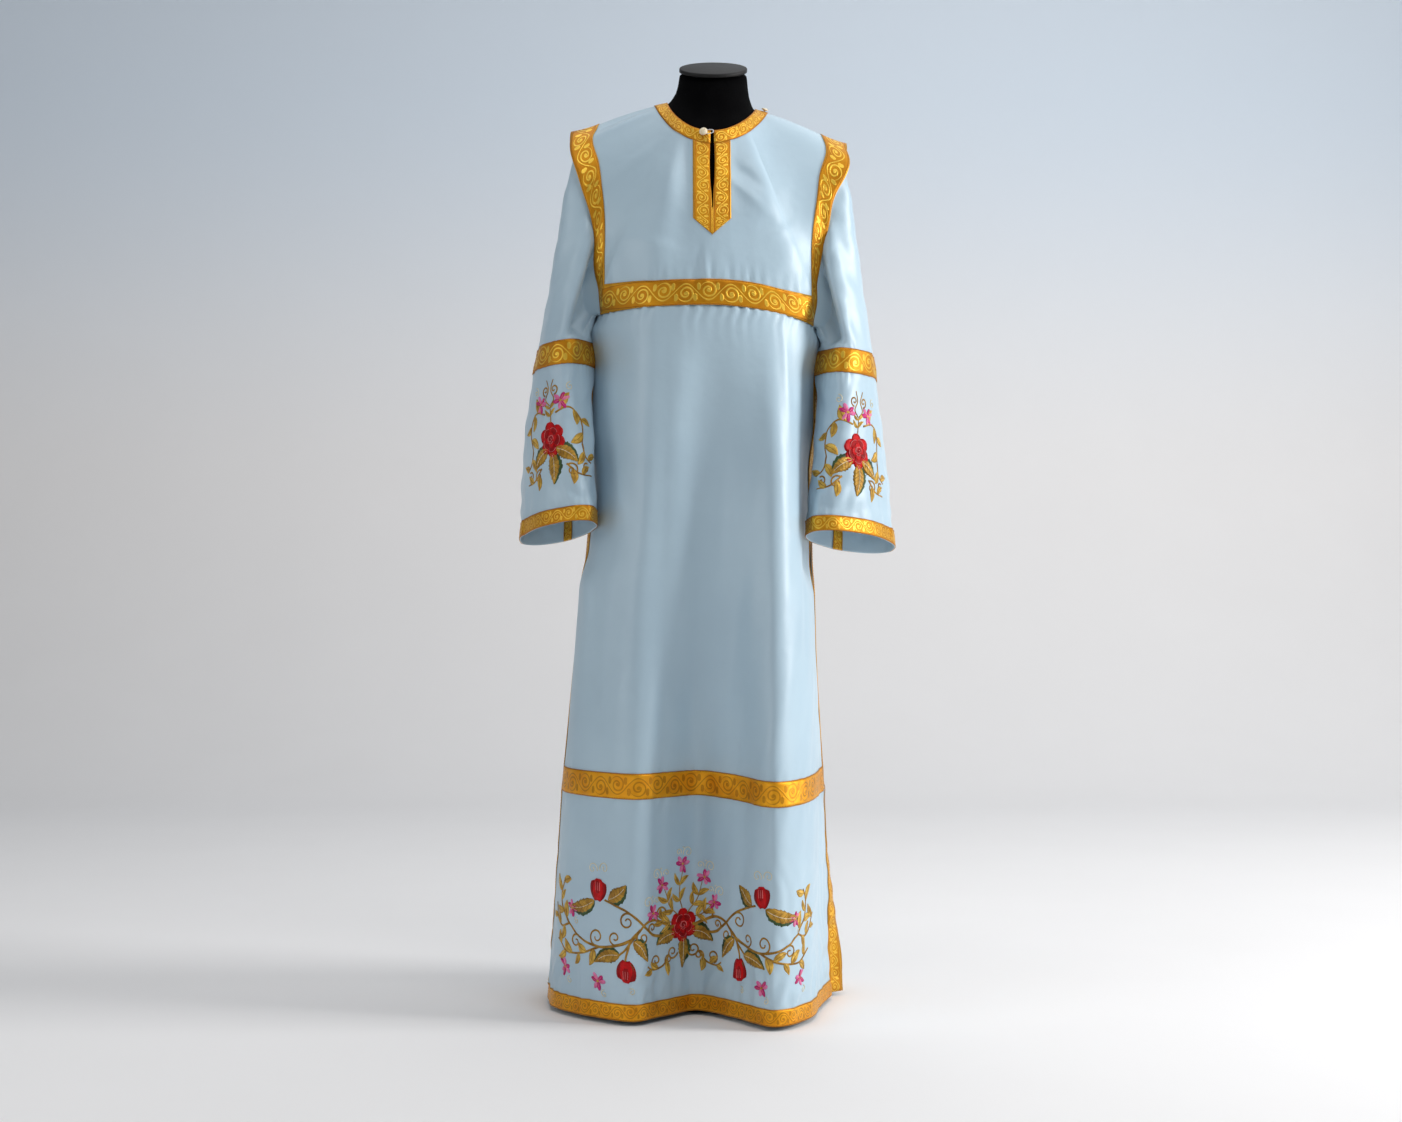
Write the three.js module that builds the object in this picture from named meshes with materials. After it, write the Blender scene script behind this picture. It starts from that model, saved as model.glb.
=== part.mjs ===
// A sticharion hanging on a limbless dress form. Millimetres, +Z up, the front faces -Y.
// Origin: on the underside of the base plate, on the axis of the pole.
import * as THREE from 'three';

// Driving sizes.
const SEAM = 0.35; // gap between pieces that are sewn together
const WALL = 1.5; // cloth with its seam allowances
const TRIM_WALL = 1.2; // galloon
const TRIM_GAP = 0.3; // galloon above the cloth
const TRIM_INSET = 0.2; // each galloon edge, so that neighbours stay apart
const TRIM_END_INSET = 0.5; // each galloon end, which may be mitred
const COLLAR_WIDTH = 22;
const ARMHOLE_TRIM_WIDTH = 36;
const ARMHOLE_TRIM_LOW_WIDTH = 46; // measured along the slanted threads near the chest
const CHEST_BAND_WIDTH = 40;
const LOWER_BAND_WIDTH = 38;
const HEM_BAND_WIDTH = 25;
const SIDE_TRIM_WIDTH = 25;
const CHEST_Z = 1072; // lower edge of the chest band at the middle
const LOWER_BAND_Z = 372; // upper edge
const HEM_Z = 7;
const SIDE_TRIM_TOP_Z = 1030;
const SLIT_X = 8;
const PLACKET_HALF = 28.5;

const COLORS = {
  satin: { color: 0xa9c9e6, roughness: 0.42, metalness: 0 },
  galloon: { color: 0xc9961f, roughness: 0.45, metalness: 0.35 },
  form: { color: 0x14141a, roughness: 0.9, metalness: 0 },
  pearl: { color: 0xe9dcc0, roughness: 0.25, metalness: 0.1 },
  metal: { color: 0x2a2a2e, roughness: 0.5, metalness: 0.7 },
  silver: { color: 0xd9dade, roughness: 0.35, metalness: 0.4 },
};

// A point from its place across, its depth towards the viewer, and its height.
function at(x, depth, z) {
  return new THREE.Vector3(x, -depth, z);
}

function smooth(t) {
  const k = THREE.MathUtils.clamp(t, 0, 1);
  return k * k * (3 - 2 * k);
}

// Value at t of the smooth curve through evenly spaced values.
function through(values, t) {
  const last = values.length - 1;
  const i = Math.min(Math.max(Math.floor(t), 0), last - 1);
  const k = t - i;
  const before = i > 0 ? values[i - 1] : 2 * values[0] - values[1];
  const after = i + 2 <= last ? values[i + 2] : 2 * values[last] - values[last - 1];
  const startSlope = (values[i + 1] - before) / 2;
  const endSlope = (after - values[i]) / 2;
  const k2 = k * k;
  const k3 = k2 * k;
  return (2 * k3 - 3 * k2 + 1) * values[i] + (k3 - 2 * k2 + k) * startSlope
    + (3 * k2 - 2 * k3) * values[i + 1] + (k3 - k2) * endSlope;
}

// Folds of the long panels. Each row is one fold line from chest to hem, with its place across (x)
// and its depth towards the viewer (d) at each of LEVELS. press is how far the sleeve that lies
// against the side pushes it in.
const LEVELS = [1072, 800, 560, 353, 7];
const FRONT_FOLDS = [
  { name: 'left edge', x: [-168, -186, -206, -227, -251], d: [-4, -10, -16, -22, -30], press: 4 },
  { name: 'left turn', x: [-163, -176, -192, -206, -226], d: [45, 62, 74, 82, 84], press: 18 },
  { name: 'left crest', x: [-104, -108, -112, -116, -119], d: [112, 126, 144, 166, 178], press: 2 },
  { name: 'left fall', x: [-55, -58, -62, -64, -66], d: [129, 134, 136, 138, 140], press: 0 },
  { name: 'middle valley', x: [-5, -8, -10, -12, -13], d: [134, 130, 118, 99, 97], press: 0 },
  { name: 'middle rise', x: [45, 44, 44, 45, 46], d: [129, 138, 142, 150, 156], press: 0 },
  { name: 'right crest', x: [97, 102, 103, 100, 99], d: [113, 146, 180, 206, 216], press: 0 },
  { name: 'right corner', x: [142, 146, 149, 151, 153], d: [82, 106, 132, 150, 153], press: 6 },
  { name: 'right recess', x: [163, 161, 165, 173, 176], d: [45, 52, 54, 52, 50], press: 14 },
  { name: 'right edge', x: [169, 167, 171, 185, 209], d: [-4, -14, -26, -42, -60], press: 3 },
];
const BACK_FOLDS = [
  { name: 'right edge', x: [169, 167, 171, 184, 203], d: [-4, -14, -26, -44, -76], press: 3 },
  { name: 'right turn', x: [158, 160, 166, 176, 190], d: [-52, -70, -92, -118, -150], press: 2 },
  { name: 'right crest', x: [100, 104, 108, 112, 116], d: [-102, -122, -146, -174, -204], press: 0 },
  { name: 'right valley', x: [46, 46, 46, 47, 48], d: [-114, -124, -132, -142, -154], press: 0 },
  { name: 'middle crest', x: [-4, -5, -6, -8, -10], d: [-118, -134, -154, -178, -206], press: 0 },
  { name: 'left valley', x: [-54, -58, -62, -68, -72], d: [-114, -124, -134, -146, -160], press: 0 },
  { name: 'left crest', x: [-104, -110, -118, -127, -136], d: [-102, -120, -144, -170, -196], press: 0 },
  { name: 'left turn', x: [-158, -172, -188, -202, -218], d: [-52, -64, -80, -98, -118], press: 2 },
  { name: 'left edge', x: [-168, -186, -206, -227, -250], d: [-4, -10, -16, -24, -46], press: 4 },
];

// The sleeves press the sides in from below the underarm down to the cuffs.
const SLEEVE_PRESS = { top: 1060, full: 985, end: { left: 706, right: 692 }, release: 62 };

function pressShare(x, z) {
  const { top, full, end, release } = SLEEVE_PRESS;
  const bottom = x < 0 ? end.left : end.right;
  return smooth((top - z) / (top - full)) * smooth((z - bottom + release) / release);
}

// The cloth hangs a little lower towards the right: at the chest, and round the right crest.
const CHEST_SAG = { left: 5, right: 24, reach: 168, end: 700 };
const CREST_SAG = { depth: 8, x: 105, width: 75, z: 353, height: 170 };

function sag(x, z) {
  const chestSide = x < 0 ? CHEST_SAG.left : CHEST_SAG.right;
  const chest = chestSide * (x / CHEST_SAG.reach) ** 2;
  const chestShare = smooth((z - CHEST_SAG.end) / (CHEST_Z - CHEST_SAG.end));
  const acrossCrest = Math.exp(-(((x - CREST_SAG.x) / CREST_SAG.width) ** 2));
  const alongCrest = Math.exp(-(((z - CREST_SAG.z) / CREST_SAG.height) ** 2));
  return chest * chestShare + CREST_SAG.depth * acrossCrest * alongCrest;
}

// Place of height z in LEVELS, as a fraction of rows.
function levelOf(z) {
  let i = 0;
  while (i < LEVELS.length - 2 && z < LEVELS[i + 1]) i += 1;
  return i + (LEVELS[i] - z) / (LEVELS[i] - LEVELS[i + 1]);
}

// The left edges turn in, so that their trims are out of sight from the front.
const TUCK = { depth: 8, reach: 0.2, top: 1000, full: 880 };

// Point of a long panel: u counts fold lines, z is the height before the sag.
function panelPoint(folds, u, z) {
  const level = levelOf(z);
  const x = through(folds.map((fold) => through(fold.x, level)), u);
  const depth = through(folds.map((fold) => through(fold.d, level)), u);
  const press = Math.sign(x) * pressShare(x, z) * through(folds.map((fold) => fold.press), u);
  const fromEdge = Math.min(u, folds.length - 1 - u);
  const tuckShare = smooth(1 - fromEdge / TUCK.reach) * smooth((TUCK.top - z) / (TUCK.top - TUCK.full));
  const tuck = x < 0 ? TUCK.depth * tuckShare : 0;
  return at(x - press + tuck, depth, z - sag(x, z));
}

// Columns of a long panel at height z: the side trims keep their width at every height.
const FOLD_STEPS = 3;

function panelColumns(folds, z) {
  const last = folds.length - 1;
  const edgeShare = (a, b) => SIDE_TRIM_WIDTH / panelPoint(folds, a, z).distanceTo(panelPoint(folds, b, z));
  const first = edgeShare(0, 1);
  const final = edgeShare(last, last - 1);
  const columns = [0];
  for (let k = 0; k < FOLD_STEPS; k += 1) columns.push(first + (1 - first) * (k / (FOLD_STEPS - 1)));
  for (let i = 1; i < last - 1; i += 1) {
    for (let k = 1; k <= FOLD_STEPS; k += 1) columns.push(i + k / FOLD_STEPS);
  }
  for (let k = 1; k < FOLD_STEPS; k += 1) columns.push(last - 1 + (1 - final) * (k / (FOLD_STEPS - 1)));
  columns.push(last);
  return columns;
}

const PANEL_ROWS = [
  CHEST_Z, SIDE_TRIM_TOP_Z, 985, 920, 860, 800, 745, 690, 625, 560, 495, 430,
  LOWER_BAND_Z, LOWER_BAND_Z - LOWER_BAND_WIDTH, 265, 190, 110, HEM_Z + HEM_BAND_WIDTH, HEM_Z,
];

// Neck opening, in the plan a rounded ring, higher at the back. Angle 0 is the front, +90 the right.
const NECK = { x: 7, halfWidth: 68, front: 85, back: 74, leftZ: 1402, rightZ: 1392, frontZ: 1343, backZ: 1412 };

function neckPoint(degrees) {
  const angle = THREE.MathUtils.degToRad(degrees);
  const forward = Math.cos(angle);
  const across = Math.sin(angle);
  const depth = forward > 0 ? NECK.front : NECK.back;
  const endZ = forward > 0 ? NECK.frontZ : NECK.backZ;
  const sideZ = (NECK.leftZ + NECK.rightZ) / 2 + ((NECK.rightZ - NECK.leftZ) / 2) * across;
  const share = Math.abs(forward) ** 1.4;
  return at(NECK.x + NECK.halfWidth * across, depth * forward, sideZ + (endZ - sideZ) * share);
}

// Armhole edges, from the shoulder tip down to the corner of the chest band.
// wave is how far the edge stands out sideways, front and back alike, at evenly spaced places.
const ARMHOLES = {
  left: { tip: at(-201, 0, 1354), lean: 58, wave: [0, -6, 3, 4, 3, 0, 0] },
  right: { tip: at(210, 0, 1336), lean: 58, wave: [0, -4, 4, 2, 1, 0, 0] },
};
const ARMHOLE_STEPS = 8;
const BOTTOM_STEPS = 5;

// Edge point: a is 0 at the shoulder tip and 1 at the corner.
function armholePoint(side, corner, facing, a) {
  const { tip, lean, wave } = ARMHOLES[side];
  const outward = side === 'left' ? -1 : 1;
  const acrossShare = smooth(a * 1.35 - 0.12);
  const x = THREE.MathUtils.lerp(tip.x, corner.x, acrossShare) - outward * through(wave, a * (wave.length - 1));
  const z = THREE.MathUtils.lerp(tip.z, corner.z, a ** 1.12);
  const cornerDepth = Math.abs(corner.y);
  const depth = cornerDepth * smooth(a) + lean * Math.sin(Math.PI * a ** 0.62) * (1 - 0.25 * a);
  return at(x, facing * depth, z);
}

// How far the yoke swells out between the neck and its outer edge: along the shoulder seam, at the
// middle of the armhole, at the corner and at the middle of the chest.
const SWELL = {
  front: { seam: 0, armhole: 16, corner: 44, middle: 14, up: 5 },
  back: { seam: 0, armhole: 12, corner: 38, middle: 26, up: 5 },
};

// Below the shoulders the yoke also bulges sideways, most where the armhole trim begins.
const SIDE_BULGE = { amount: 10, place: 0.86 };

// One thread line of a yoke, from the neck edge to the outer edge.
function yokeThread(start, end, swell, up, trimWidth, slitSide = 0) {
  return { start, end, swell, up, trimWidth, slitSide, bulge: 0, length: start.distanceTo(end) };
}

// The slit stands open a little: half its width from the neck down, then closed.
const SLIT_HALF = [2.4, 3.2, 4, 3.4, 1.5, 1.2, 1.2, 1.2, 1.2, 1.2];

function threadPoint(thread, share, facing) {
  const point = thread.start.clone().lerp(thread.end, share);
  const swell = 4 * share * (1 - share);
  point.y -= facing * thread.swell * swell;
  point.z += thread.up * swell;
  const { place } = SIDE_BULGE;
  point.x += thread.bulge * (share / place) ** 3 * ((1 - share) / (1 - place));
  return point;
}

// Rows of a yoke: neck edge, collar edge, the rows of the slit and the placket, band edge, outer edge.
const YOKE_ROWS = [0, 0.16, 0.33, 0.49, 0.57, 0.67, 0.83, 1];
const SLIT_END_ROW = 4;
const PLACKET_END_ROW = 6;

// All thread lines of one yoke, in the order that runs once round the garment.
function yokeThreads(name) {
  const isFront = name === 'front';
  const facing = isFront ? 1 : -1;
  const folds = isFront ? FRONT_FOLDS : BACK_FOLDS;
  const swell = SWELL[name];
  const last = folds.length - 1;
  const seam = at(0, (facing * SEAM) / 2, 0);
  const sides = isFront ? ['left', 'right'] : ['right', 'left'];
  const middle = middleShare(folds);
  const halves = sides.map((side, index) => {
    const outward = side === 'left' ? -1 : 1;
    const cornerU = index === 0 ? 1 : last - 1;
    const corner = lifted(panelPoint(folds, cornerU, CHEST_Z));
    const startAngle = 90 * outward;
    const middleAngle = outward * THREE.MathUtils.radToDeg(Math.asin(PLACKET_HALF / NECK.halfWidth));
    const total = ARMHOLE_STEPS + BOTTOM_STEPS;
    const threads = [];
    for (let j = 0; j <= total; j += 1) {
      const turn = THREE.MathUtils.lerp(startAngle, middleAngle, j / total);
      const start = neckPoint(isFront ? turn : 180 - turn).add(j === 0 ? seam : at(0, 0, 0));
      if (j <= ARMHOLE_STEPS) {
        const a = j / ARMHOLE_STEPS;
        const end = armholePoint(side, corner, facing, a).add(j === 0 ? seam : at(0, 0, 0));
        const width = THREE.MathUtils.lerp(ARMHOLE_TRIM_WIDTH, ARMHOLE_TRIM_LOW_WIDTH, a);
        const out = through([swell.seam, swell.armhole, swell.corner], a * 2);
        threads.push(yokeThread(start, end, out, swell.up * (1 - a), width));
        threads[j].bulge = outward * SIDE_BULGE.amount * smooth(a * 1.3);
      } else {
        const b = (j - ARMHOLE_STEPS) / BOTTOM_STEPS;
        const u = THREE.MathUtils.lerp(cornerU, index === 0 ? middle.first : middle.second, b);
        const end = lifted(panelPoint(folds, u, CHEST_Z));
        const width = THREE.MathUtils.lerp(ARMHOLE_TRIM_LOW_WIDTH, CHEST_BAND_WIDTH, Math.min(1, b * 2));
        threads.push(yokeThread(start, end, THREE.MathUtils.lerp(swell.corner, swell.middle, smooth(b)), 0, width));
        threads[j].bulge = outward * SIDE_BULGE.amount * (1 - smooth(b * 1.6));
      }
    }
    return index === 0 ? threads : threads.reverse();
  });
  const slitSides = isFront ? [-1, 1] : [0];
  const slit = slitSides.map((slitSide) => middleThread(slitSide, isFront, folds, swell.middle));
  return [...halves[0], ...slit, ...halves[1]];
}

function lifted(point) {
  return point.clone().add(at(0, 0, SEAM));
}

// Places on the chest line, in fold counts, where the two edges of the placket would meet it.
function middleShare(folds) {
  const target = (x) => {
    let low = 1;
    let high = folds.length - 2;
    const rising = folds[0].x[0] < 0;
    for (let k = 0; k < 40; k += 1) {
      const mid = (low + high) / 2;
      if (panelPoint(folds, mid, CHEST_Z).x < x === rising) low = mid;
      else high = mid;
    }
    return low;
  };
  const sign = folds[0].x[0] < 0 ? -1 : 1;
  return { first: target(SLIT_X + sign * PLACKET_HALF), second: target(SLIT_X - sign * PLACKET_HALF) };
}

// A thread down the middle: at the front, one for each side of the slit.
function middleThread(slitSide, isFront, folds, swell) {
  const angle = THREE.MathUtils.radToDeg(Math.asin((SLIT_X - NECK.x) / NECK.halfWidth));
  const { first, second } = middleShare(folds);
  const end = lifted(panelPoint(folds, (first + second) / 2, CHEST_Z));
  end.x = SLIT_X;
  return yokeThread(neckPoint(isFront ? angle : 180 - angle), end, swell, 0, CHEST_BAND_WIDTH, slitSide);
}

// Grid of a yoke: a row for each place down its threads, a column for each thread.
function yokeGrid(name) {
  const facing = name === 'front' ? 1 : -1;
  const threads = yokeThreads(name);
  const grid = [threads.map((thread) => threadPoint(thread, 0, facing))];
  for (const row of YOKE_ROWS) {
    grid.push(threads.map((thread) => {
      const from = COLLAR_WIDTH / thread.length;
      const to = 1 - thread.trimWidth / thread.length;
      return threadPoint(thread, from + (to - from) * row, facing);
    }));
  }
  grid.push(threads.map((thread) => threadPoint(thread, 1, facing)));
  grid.forEach((row, r) => {
    row.forEach((point, c) => {
      point.x += threads[c].slitSide * SLIT_HALF[r];
    });
  });
  return grid;
}

// Unit normals of a grid. The hook settles them at the seams, so that walls stay on their own side.
function gridNormals(grid, loop, settle) {
  const rows = grid.length;
  const columns = grid[0].length;
  return grid.map((row, r) => row.map((_, c) => {
    const left = loop ? (c + columns - 1) % columns : Math.max(c - 1, 0);
    const right = loop ? (c + 1) % columns : Math.min(c + 1, columns - 1);
    const across = row[right].clone().sub(row[left]);
    const down = grid[Math.min(r + 1, rows - 1)][c].clone().sub(grid[Math.max(r - 1, 0)][c]);
    const normal = down.cross(across).normalize();
    settle(normal, r, c, rows, columns);
    return normal.normalize();
  }));
}

function moved(grid, normals, distance) {
  return grid.map((row, r) => row.map((point, c) => point.clone().addScaledVector(normals[r][c], distance)));
}

// Closed solid between two grids of equal size. Cells that keep() leaves out stay open.
function wallBetween(outer, inner, { loop = false, keep = () => true } = {}) {
  const rows = outer.length - 1;
  const columns = loop ? outer[0].length : outer[0].length - 1;
  const positions = [];
  const next = (c) => (loop ? (c + 1) % columns : c + 1);
  const kept = (r, c) => {
    const column = loop ? (c + columns) % columns : c;
    return r >= 0 && r < rows && column >= 0 && column < columns && keep(r, column);
  };
  const triangle = (a, b, c) => {
    const flat = a.distanceTo(b) < 1e-4 || b.distanceTo(c) < 1e-4 || c.distanceTo(a) < 1e-4;
    if (!flat) positions.push(...a.toArray(), ...b.toArray(), ...c.toArray());
  };
  const quad = (a, b, c, d) => {
    triangle(a, b, c);
    triangle(a, c, d);
  };
  for (let r = 0; r < rows; r += 1) {
    for (let c = 0; c < columns; c += 1) {
      if (!kept(r, c)) continue;
      const n = next(c);
      quad(outer[r][c], outer[r + 1][c], outer[r + 1][n], outer[r][n]);
      triangle(inner[r][c], inner[r + 1][n], inner[r + 1][c]);
      triangle(inner[r][c], inner[r][n], inner[r + 1][n]);
      if (!kept(r - 1, c)) quad(outer[r][n], inner[r][n], inner[r][c], outer[r][c]);
      if (!kept(r + 1, c)) quad(outer[r + 1][c], inner[r + 1][c], inner[r + 1][n], outer[r + 1][n]);
      if (!kept(r, c - 1)) quad(outer[r][c], inner[r][c], inner[r + 1][c], outer[r + 1][c]);
      if (!kept(r, c + 1)) quad(outer[r + 1][n], inner[r + 1][n], inner[r][n], outer[r][n]);
    }
  }
  return outwardSolid(positions);
}

// Geometry from loose triangles, turned so that its volume is positive.
function outwardSolid(positions) {
  const a = new THREE.Vector3();
  const b = new THREE.Vector3();
  const c = new THREE.Vector3();
  let volume = 0;
  for (let i = 0; i < positions.length; i += 9) {
    a.fromArray(positions, i);
    b.fromArray(positions, i + 3);
    c.fromArray(positions, i + 6);
    volume += a.dot(b.cross(c));
  }
  if (volume < 0) {
    for (let i = 0; i < positions.length; i += 9) {
      const swap = positions.slice(i + 3, i + 6);
      positions.splice(i + 3, 3, ...positions.slice(i + 6, i + 9));
      positions.splice(i + 6, 3, ...swap);
    }
  }
  const geometry = new THREE.BufferGeometry();
  geometry.setAttribute('position', new THREE.Float32BufferAttribute(positions, 3));
  geometry.computeVertexNormals();
  return geometry;
}

const garment = new THREE.Group();

function addMesh(name, geometry, finish) {
  const mesh = new THREE.Mesh(geometry, new THREE.MeshStandardMaterial(COLORS[finish]));
  mesh.name = name;
  garment.add(mesh);
  return mesh;
}

// A cloth panel with its grid and normals, which the trims on it reuse.
function makePanel(name, grid, settle, options = {}) {
  const normals = gridNormals(grid, options.loop ?? false, settle);
  addMesh(name, wallBetween(grid, moved(grid, normals, -WALL), options), 'satin');
  return { grid, normals };
}

// Part of a panel's grid: rows and columns by index, columns may run on into the next panel.
function cut(panel, rows, columns) {
  const pick = (table) => rows.map((r) => columns.map((c) => table[r][c]));
  return { grid: pick(panel.grid), normals: pick(panel.normals) };
}

function joined(...parts) {
  const side = (key) => parts[0][key].map((_, r) => parts.flatMap((part) => part[key][r]));
  return { grid: side('grid'), normals: side('normals') };
}

function range(from, to) {
  return Array.from({ length: to - from + 1 }, (_, k) => from + k);
}

// Galloon on a panel: its points moved out, its ends drawn in from its neighbours.
function addTrim(name, part, { loop = false, keep, inside = false } = {}) {
  const grid = part.grid.map((row) => row.map((point) => point.clone()));
  const lastRow = grid.length - 1;
  const lastColumn = grid[0].length - 1;
  const draw = (point, towards, distance) => {
    const step = towards.clone().sub(point);
    if (step.length() > 1e-3) point.addScaledVector(step.normalize(), distance);
  };
  for (let c = 0; c <= lastColumn; c += 1) {
    draw(grid[0][c], part.grid[1][c], TRIM_INSET);
    draw(grid[lastRow][c], part.grid[lastRow - 1][c], TRIM_INSET);
  }
  if (!loop) {
    for (let r = 0; r <= lastRow; r += 1) {
      draw(grid[r][0], part.grid[r][1], TRIM_END_INSET);
      draw(grid[r][lastColumn], part.grid[r][lastColumn - 1], TRIM_END_INSET);
    }
  }
  const near = inside ? -WALL - TRIM_GAP : TRIM_GAP;
  const far = inside ? near - TRIM_WALL : near + TRIM_WALL;
  const options = keep ? { loop, keep } : { loop };
  addMesh(name, wallBetween(moved(grid, part.normals, far), moved(grid, part.normals, near), options), 'galloon');
}

// Long panels.
function longPanel(name, folds) {
  const grid = PANEL_ROWS.map((z) => panelColumns(folds, z).map((u) => panelPoint(folds, u, z)));
  const facing = folds === FRONT_FOLDS ? 1 : -1;
  grid.forEach((row) => {
    row[0].y -= (facing * SEAM) / 2;
    row[row.length - 1].y -= (facing * SEAM) / 2;
  });
  return makePanel(name, grid, (normal, r, c, rows, columns) => {
    if (r === 0) normal.z = 0;
    if (c === 0 || c === columns - 1) normal.y = 0;
  });
}

const frontPanel = longPanel('front_panel', FRONT_FOLDS);
const backPanel = longPanel('back_panel', BACK_FOLDS);

// Yokes.
const isArmhole = (c, count) => c <= ARMHOLE_STEPS || c >= count - 1 - ARMHOLE_STEPS;

function yokePanel(name) {
  const grid = yokeGrid(name);
  const slitColumn = ARMHOLE_STEPS + BOTTOM_STEPS + 1;
  const keep = name === 'front' ? (r, c) => c !== slitColumn || r >= SLIT_END_ROW : () => true;
  const panel = makePanel(`${name}_yoke`, grid, (normal, r, c, rows, columns) => {
    if (r === rows - 1 && isArmhole(c, columns)) normal.x = 0;
    if (r === rows - 1 && !isArmhole(c, columns)) normal.z = 0;
    if (c === 0 || c === columns - 1) normal.y = 0;
  }, { keep });
  return panel;
}

const frontYoke = yokePanel('front');
const backYoke = yokePanel('back');

const LAST_YOKE_ROW = YOKE_ROWS.length + 1;
const BAND_ROWS = [LAST_YOKE_ROW - 1, LAST_YOKE_ROW];
const FRONT_LAST = frontYoke.grid[0].length - 1;
const BACK_LAST = backYoke.grid[0].length - 1;
const SLIT_LEFT = ARMHOLE_STEPS + BOTTOM_STEPS + 1;
const SLIT_RIGHT = SLIT_LEFT + 1;

addTrim('collar_band', joined(
  cut(frontYoke, [0, 1], range(SLIT_RIGHT, FRONT_LAST)),
  cut(backYoke, [0, 1], range(0, BACK_LAST)),
  cut(frontYoke, [0, 1], range(0, SLIT_LEFT)),
));

const placket = cut(frontYoke, range(1, PLACKET_END_ROW), range(SLIT_LEFT - 1, SLIT_RIGHT + 1));
const placketTip = placket.grid.length - 1;
placket.grid[placketTip][0] = placket.grid[placketTip][1];
placket.grid[placketTip][3] = placket.grid[placketTip][2];
addTrim('placket', placket, { keep: (r, c) => c !== 1 || r >= SLIT_END_ROW - 1 });

addTrim('chest_band_front', cut(frontYoke, BAND_ROWS, range(ARMHOLE_STEPS, FRONT_LAST - ARMHOLE_STEPS)));
addTrim('chest_band_back', cut(backYoke, BAND_ROWS, range(ARMHOLE_STEPS, BACK_LAST - ARMHOLE_STEPS)));
addTrim('armhole_trim_left', joined(
  cut(backYoke, BAND_ROWS, range(BACK_LAST - ARMHOLE_STEPS, BACK_LAST)),
  cut(frontYoke, BAND_ROWS, range(0, ARMHOLE_STEPS)),
));
addTrim('armhole_trim_right', joined(
  cut(frontYoke, BAND_ROWS, range(FRONT_LAST - ARMHOLE_STEPS, FRONT_LAST)),
  cut(backYoke, BAND_ROWS, range(0, ARMHOLE_STEPS)),
));

// Trims of the long panels.
const LOWER_ROW = PANEL_ROWS.indexOf(LOWER_BAND_Z);
const HEM_ROW = PANEL_ROWS.length - 2;
const SIDE_ROW = PANEL_ROWS.indexOf(SIDE_TRIM_TOP_Z);

for (const [side, panel] of [['front', frontPanel], ['back', backPanel]]) {
  const last = panel.grid[0].length - 1;
  const first = side === 'front' ? 'left' : 'right';
  const second = side === 'front' ? 'right' : 'left';
  const between = range(1, last - 1);
  const sideRows = range(SIDE_ROW, PANEL_ROWS.length - 1);
  addTrim(`lower_band_${side}`, cut(panel, [LOWER_ROW, LOWER_ROW + 1], between));
  addTrim(`hem_band_${side}`, cut(panel, [HEM_ROW, HEM_ROW + 1], between));
  addTrim(`side_trim_${side}_${first}`, cut(panel, sideRows, [0, 1]));
  addTrim(`side_trim_${side}_${second}`, cut(panel, sideRows, [last - 1, last]));
}

// Sleeves: rings from the elbow band to the cuff. outer and inner are the places across, middle and
// depth the middle and half of the ring from back to front, lean how far its front sits inwards,
// rise how much higher its front is, roll how much higher its inner side is.
const SLEEVE_RINGS = {
  left: [
    { z: 1020, outer: -264, inner: -187, middle: 12, depth: 76, lean: 10, rise: 5, roll: 4 },
    { z: 982, outer: -270, inner: -184, middle: 14, depth: 77, lean: 12, rise: 6, roll: 3 },
    { z: 938, outer: -277, inner: -179, middle: 18, depth: 79, lean: 17, rise: 8, roll: 3 },
    { z: 892, outer: -283, inner: -174, middle: 23, depth: 81, lean: 23, rise: 10, roll: 3 },
    { z: 845, outer: -287, inner: -171, middle: 28, depth: 83, lean: 28, rise: 13, roll: 3 },
    { z: 799, outer: -290, inner: -169, middle: 32, depth: 84, lean: 32, rise: 15, roll: 3 },
    { z: 755, outer: -292, inner: -168, middle: 35, depth: 85, lean: 34, rise: 17, roll: 3 },
    { z: 731, outer: -292, inner: -168, middle: 36, depth: 85, lean: 34, rise: 18, roll: 3 },
  ],
  right: [
    { z: 1008, outer: 260, inner: 182, middle: 12, depth: 76, lean: 10, rise: 4, roll: 2 },
    { z: 970, outer: 264, inner: 176, middle: 14, depth: 77, lean: 12, rise: 5, roll: 2 },
    { z: 925, outer: 269, inner: 170, middle: 18, depth: 79, lean: 17, rise: 8, roll: 1 },
    { z: 880, outer: 275, inner: 165, middle: 24, depth: 81, lean: 23, rise: 10, roll: 1 },
    { z: 832, outer: 282, inner: 160, middle: 31, depth: 83, lean: 29, rise: 13, roll: 1 },
    { z: 785, outer: 287, inner: 155, middle: 37, depth: 84, lean: 33, rise: 15, roll: 1 },
    { z: 741, outer: 291, inner: 152, middle: 41, depth: 85, lean: 36, rise: 16, roll: 1 },
    { z: 717, outer: 293, inner: 151, middle: 42, depth: 85, lean: 36, rise: 17, roll: 1 },
  ],
};
const UNDERARM_STEPS = FOLD_STEPS;
const UPPER_STEPS = 6;
const UNDERARM_ANGLE = 35; // share of the elbow ring that hangs from the underarm, each way

function sleeveRingPoint(side, ring, degrees) {
  const angle = THREE.MathUtils.degToRad(degrees);
  const inwards = side === 'left' ? 1 : -1;
  const half = Math.abs(ring.outer - ring.inner) / 2;
  const across = Math.sqrt(half ** 2 - ring.lean ** 2) * Math.cos(angle) + ring.lean * Math.sin(angle);
  const x = (ring.outer + ring.inner) / 2 + inwards * across;
  const z = ring.z + ring.rise * Math.sin(angle) + ring.roll * Math.cos(angle);
  return at(x, ring.middle + ring.depth * Math.sin(angle), z);
}

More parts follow.
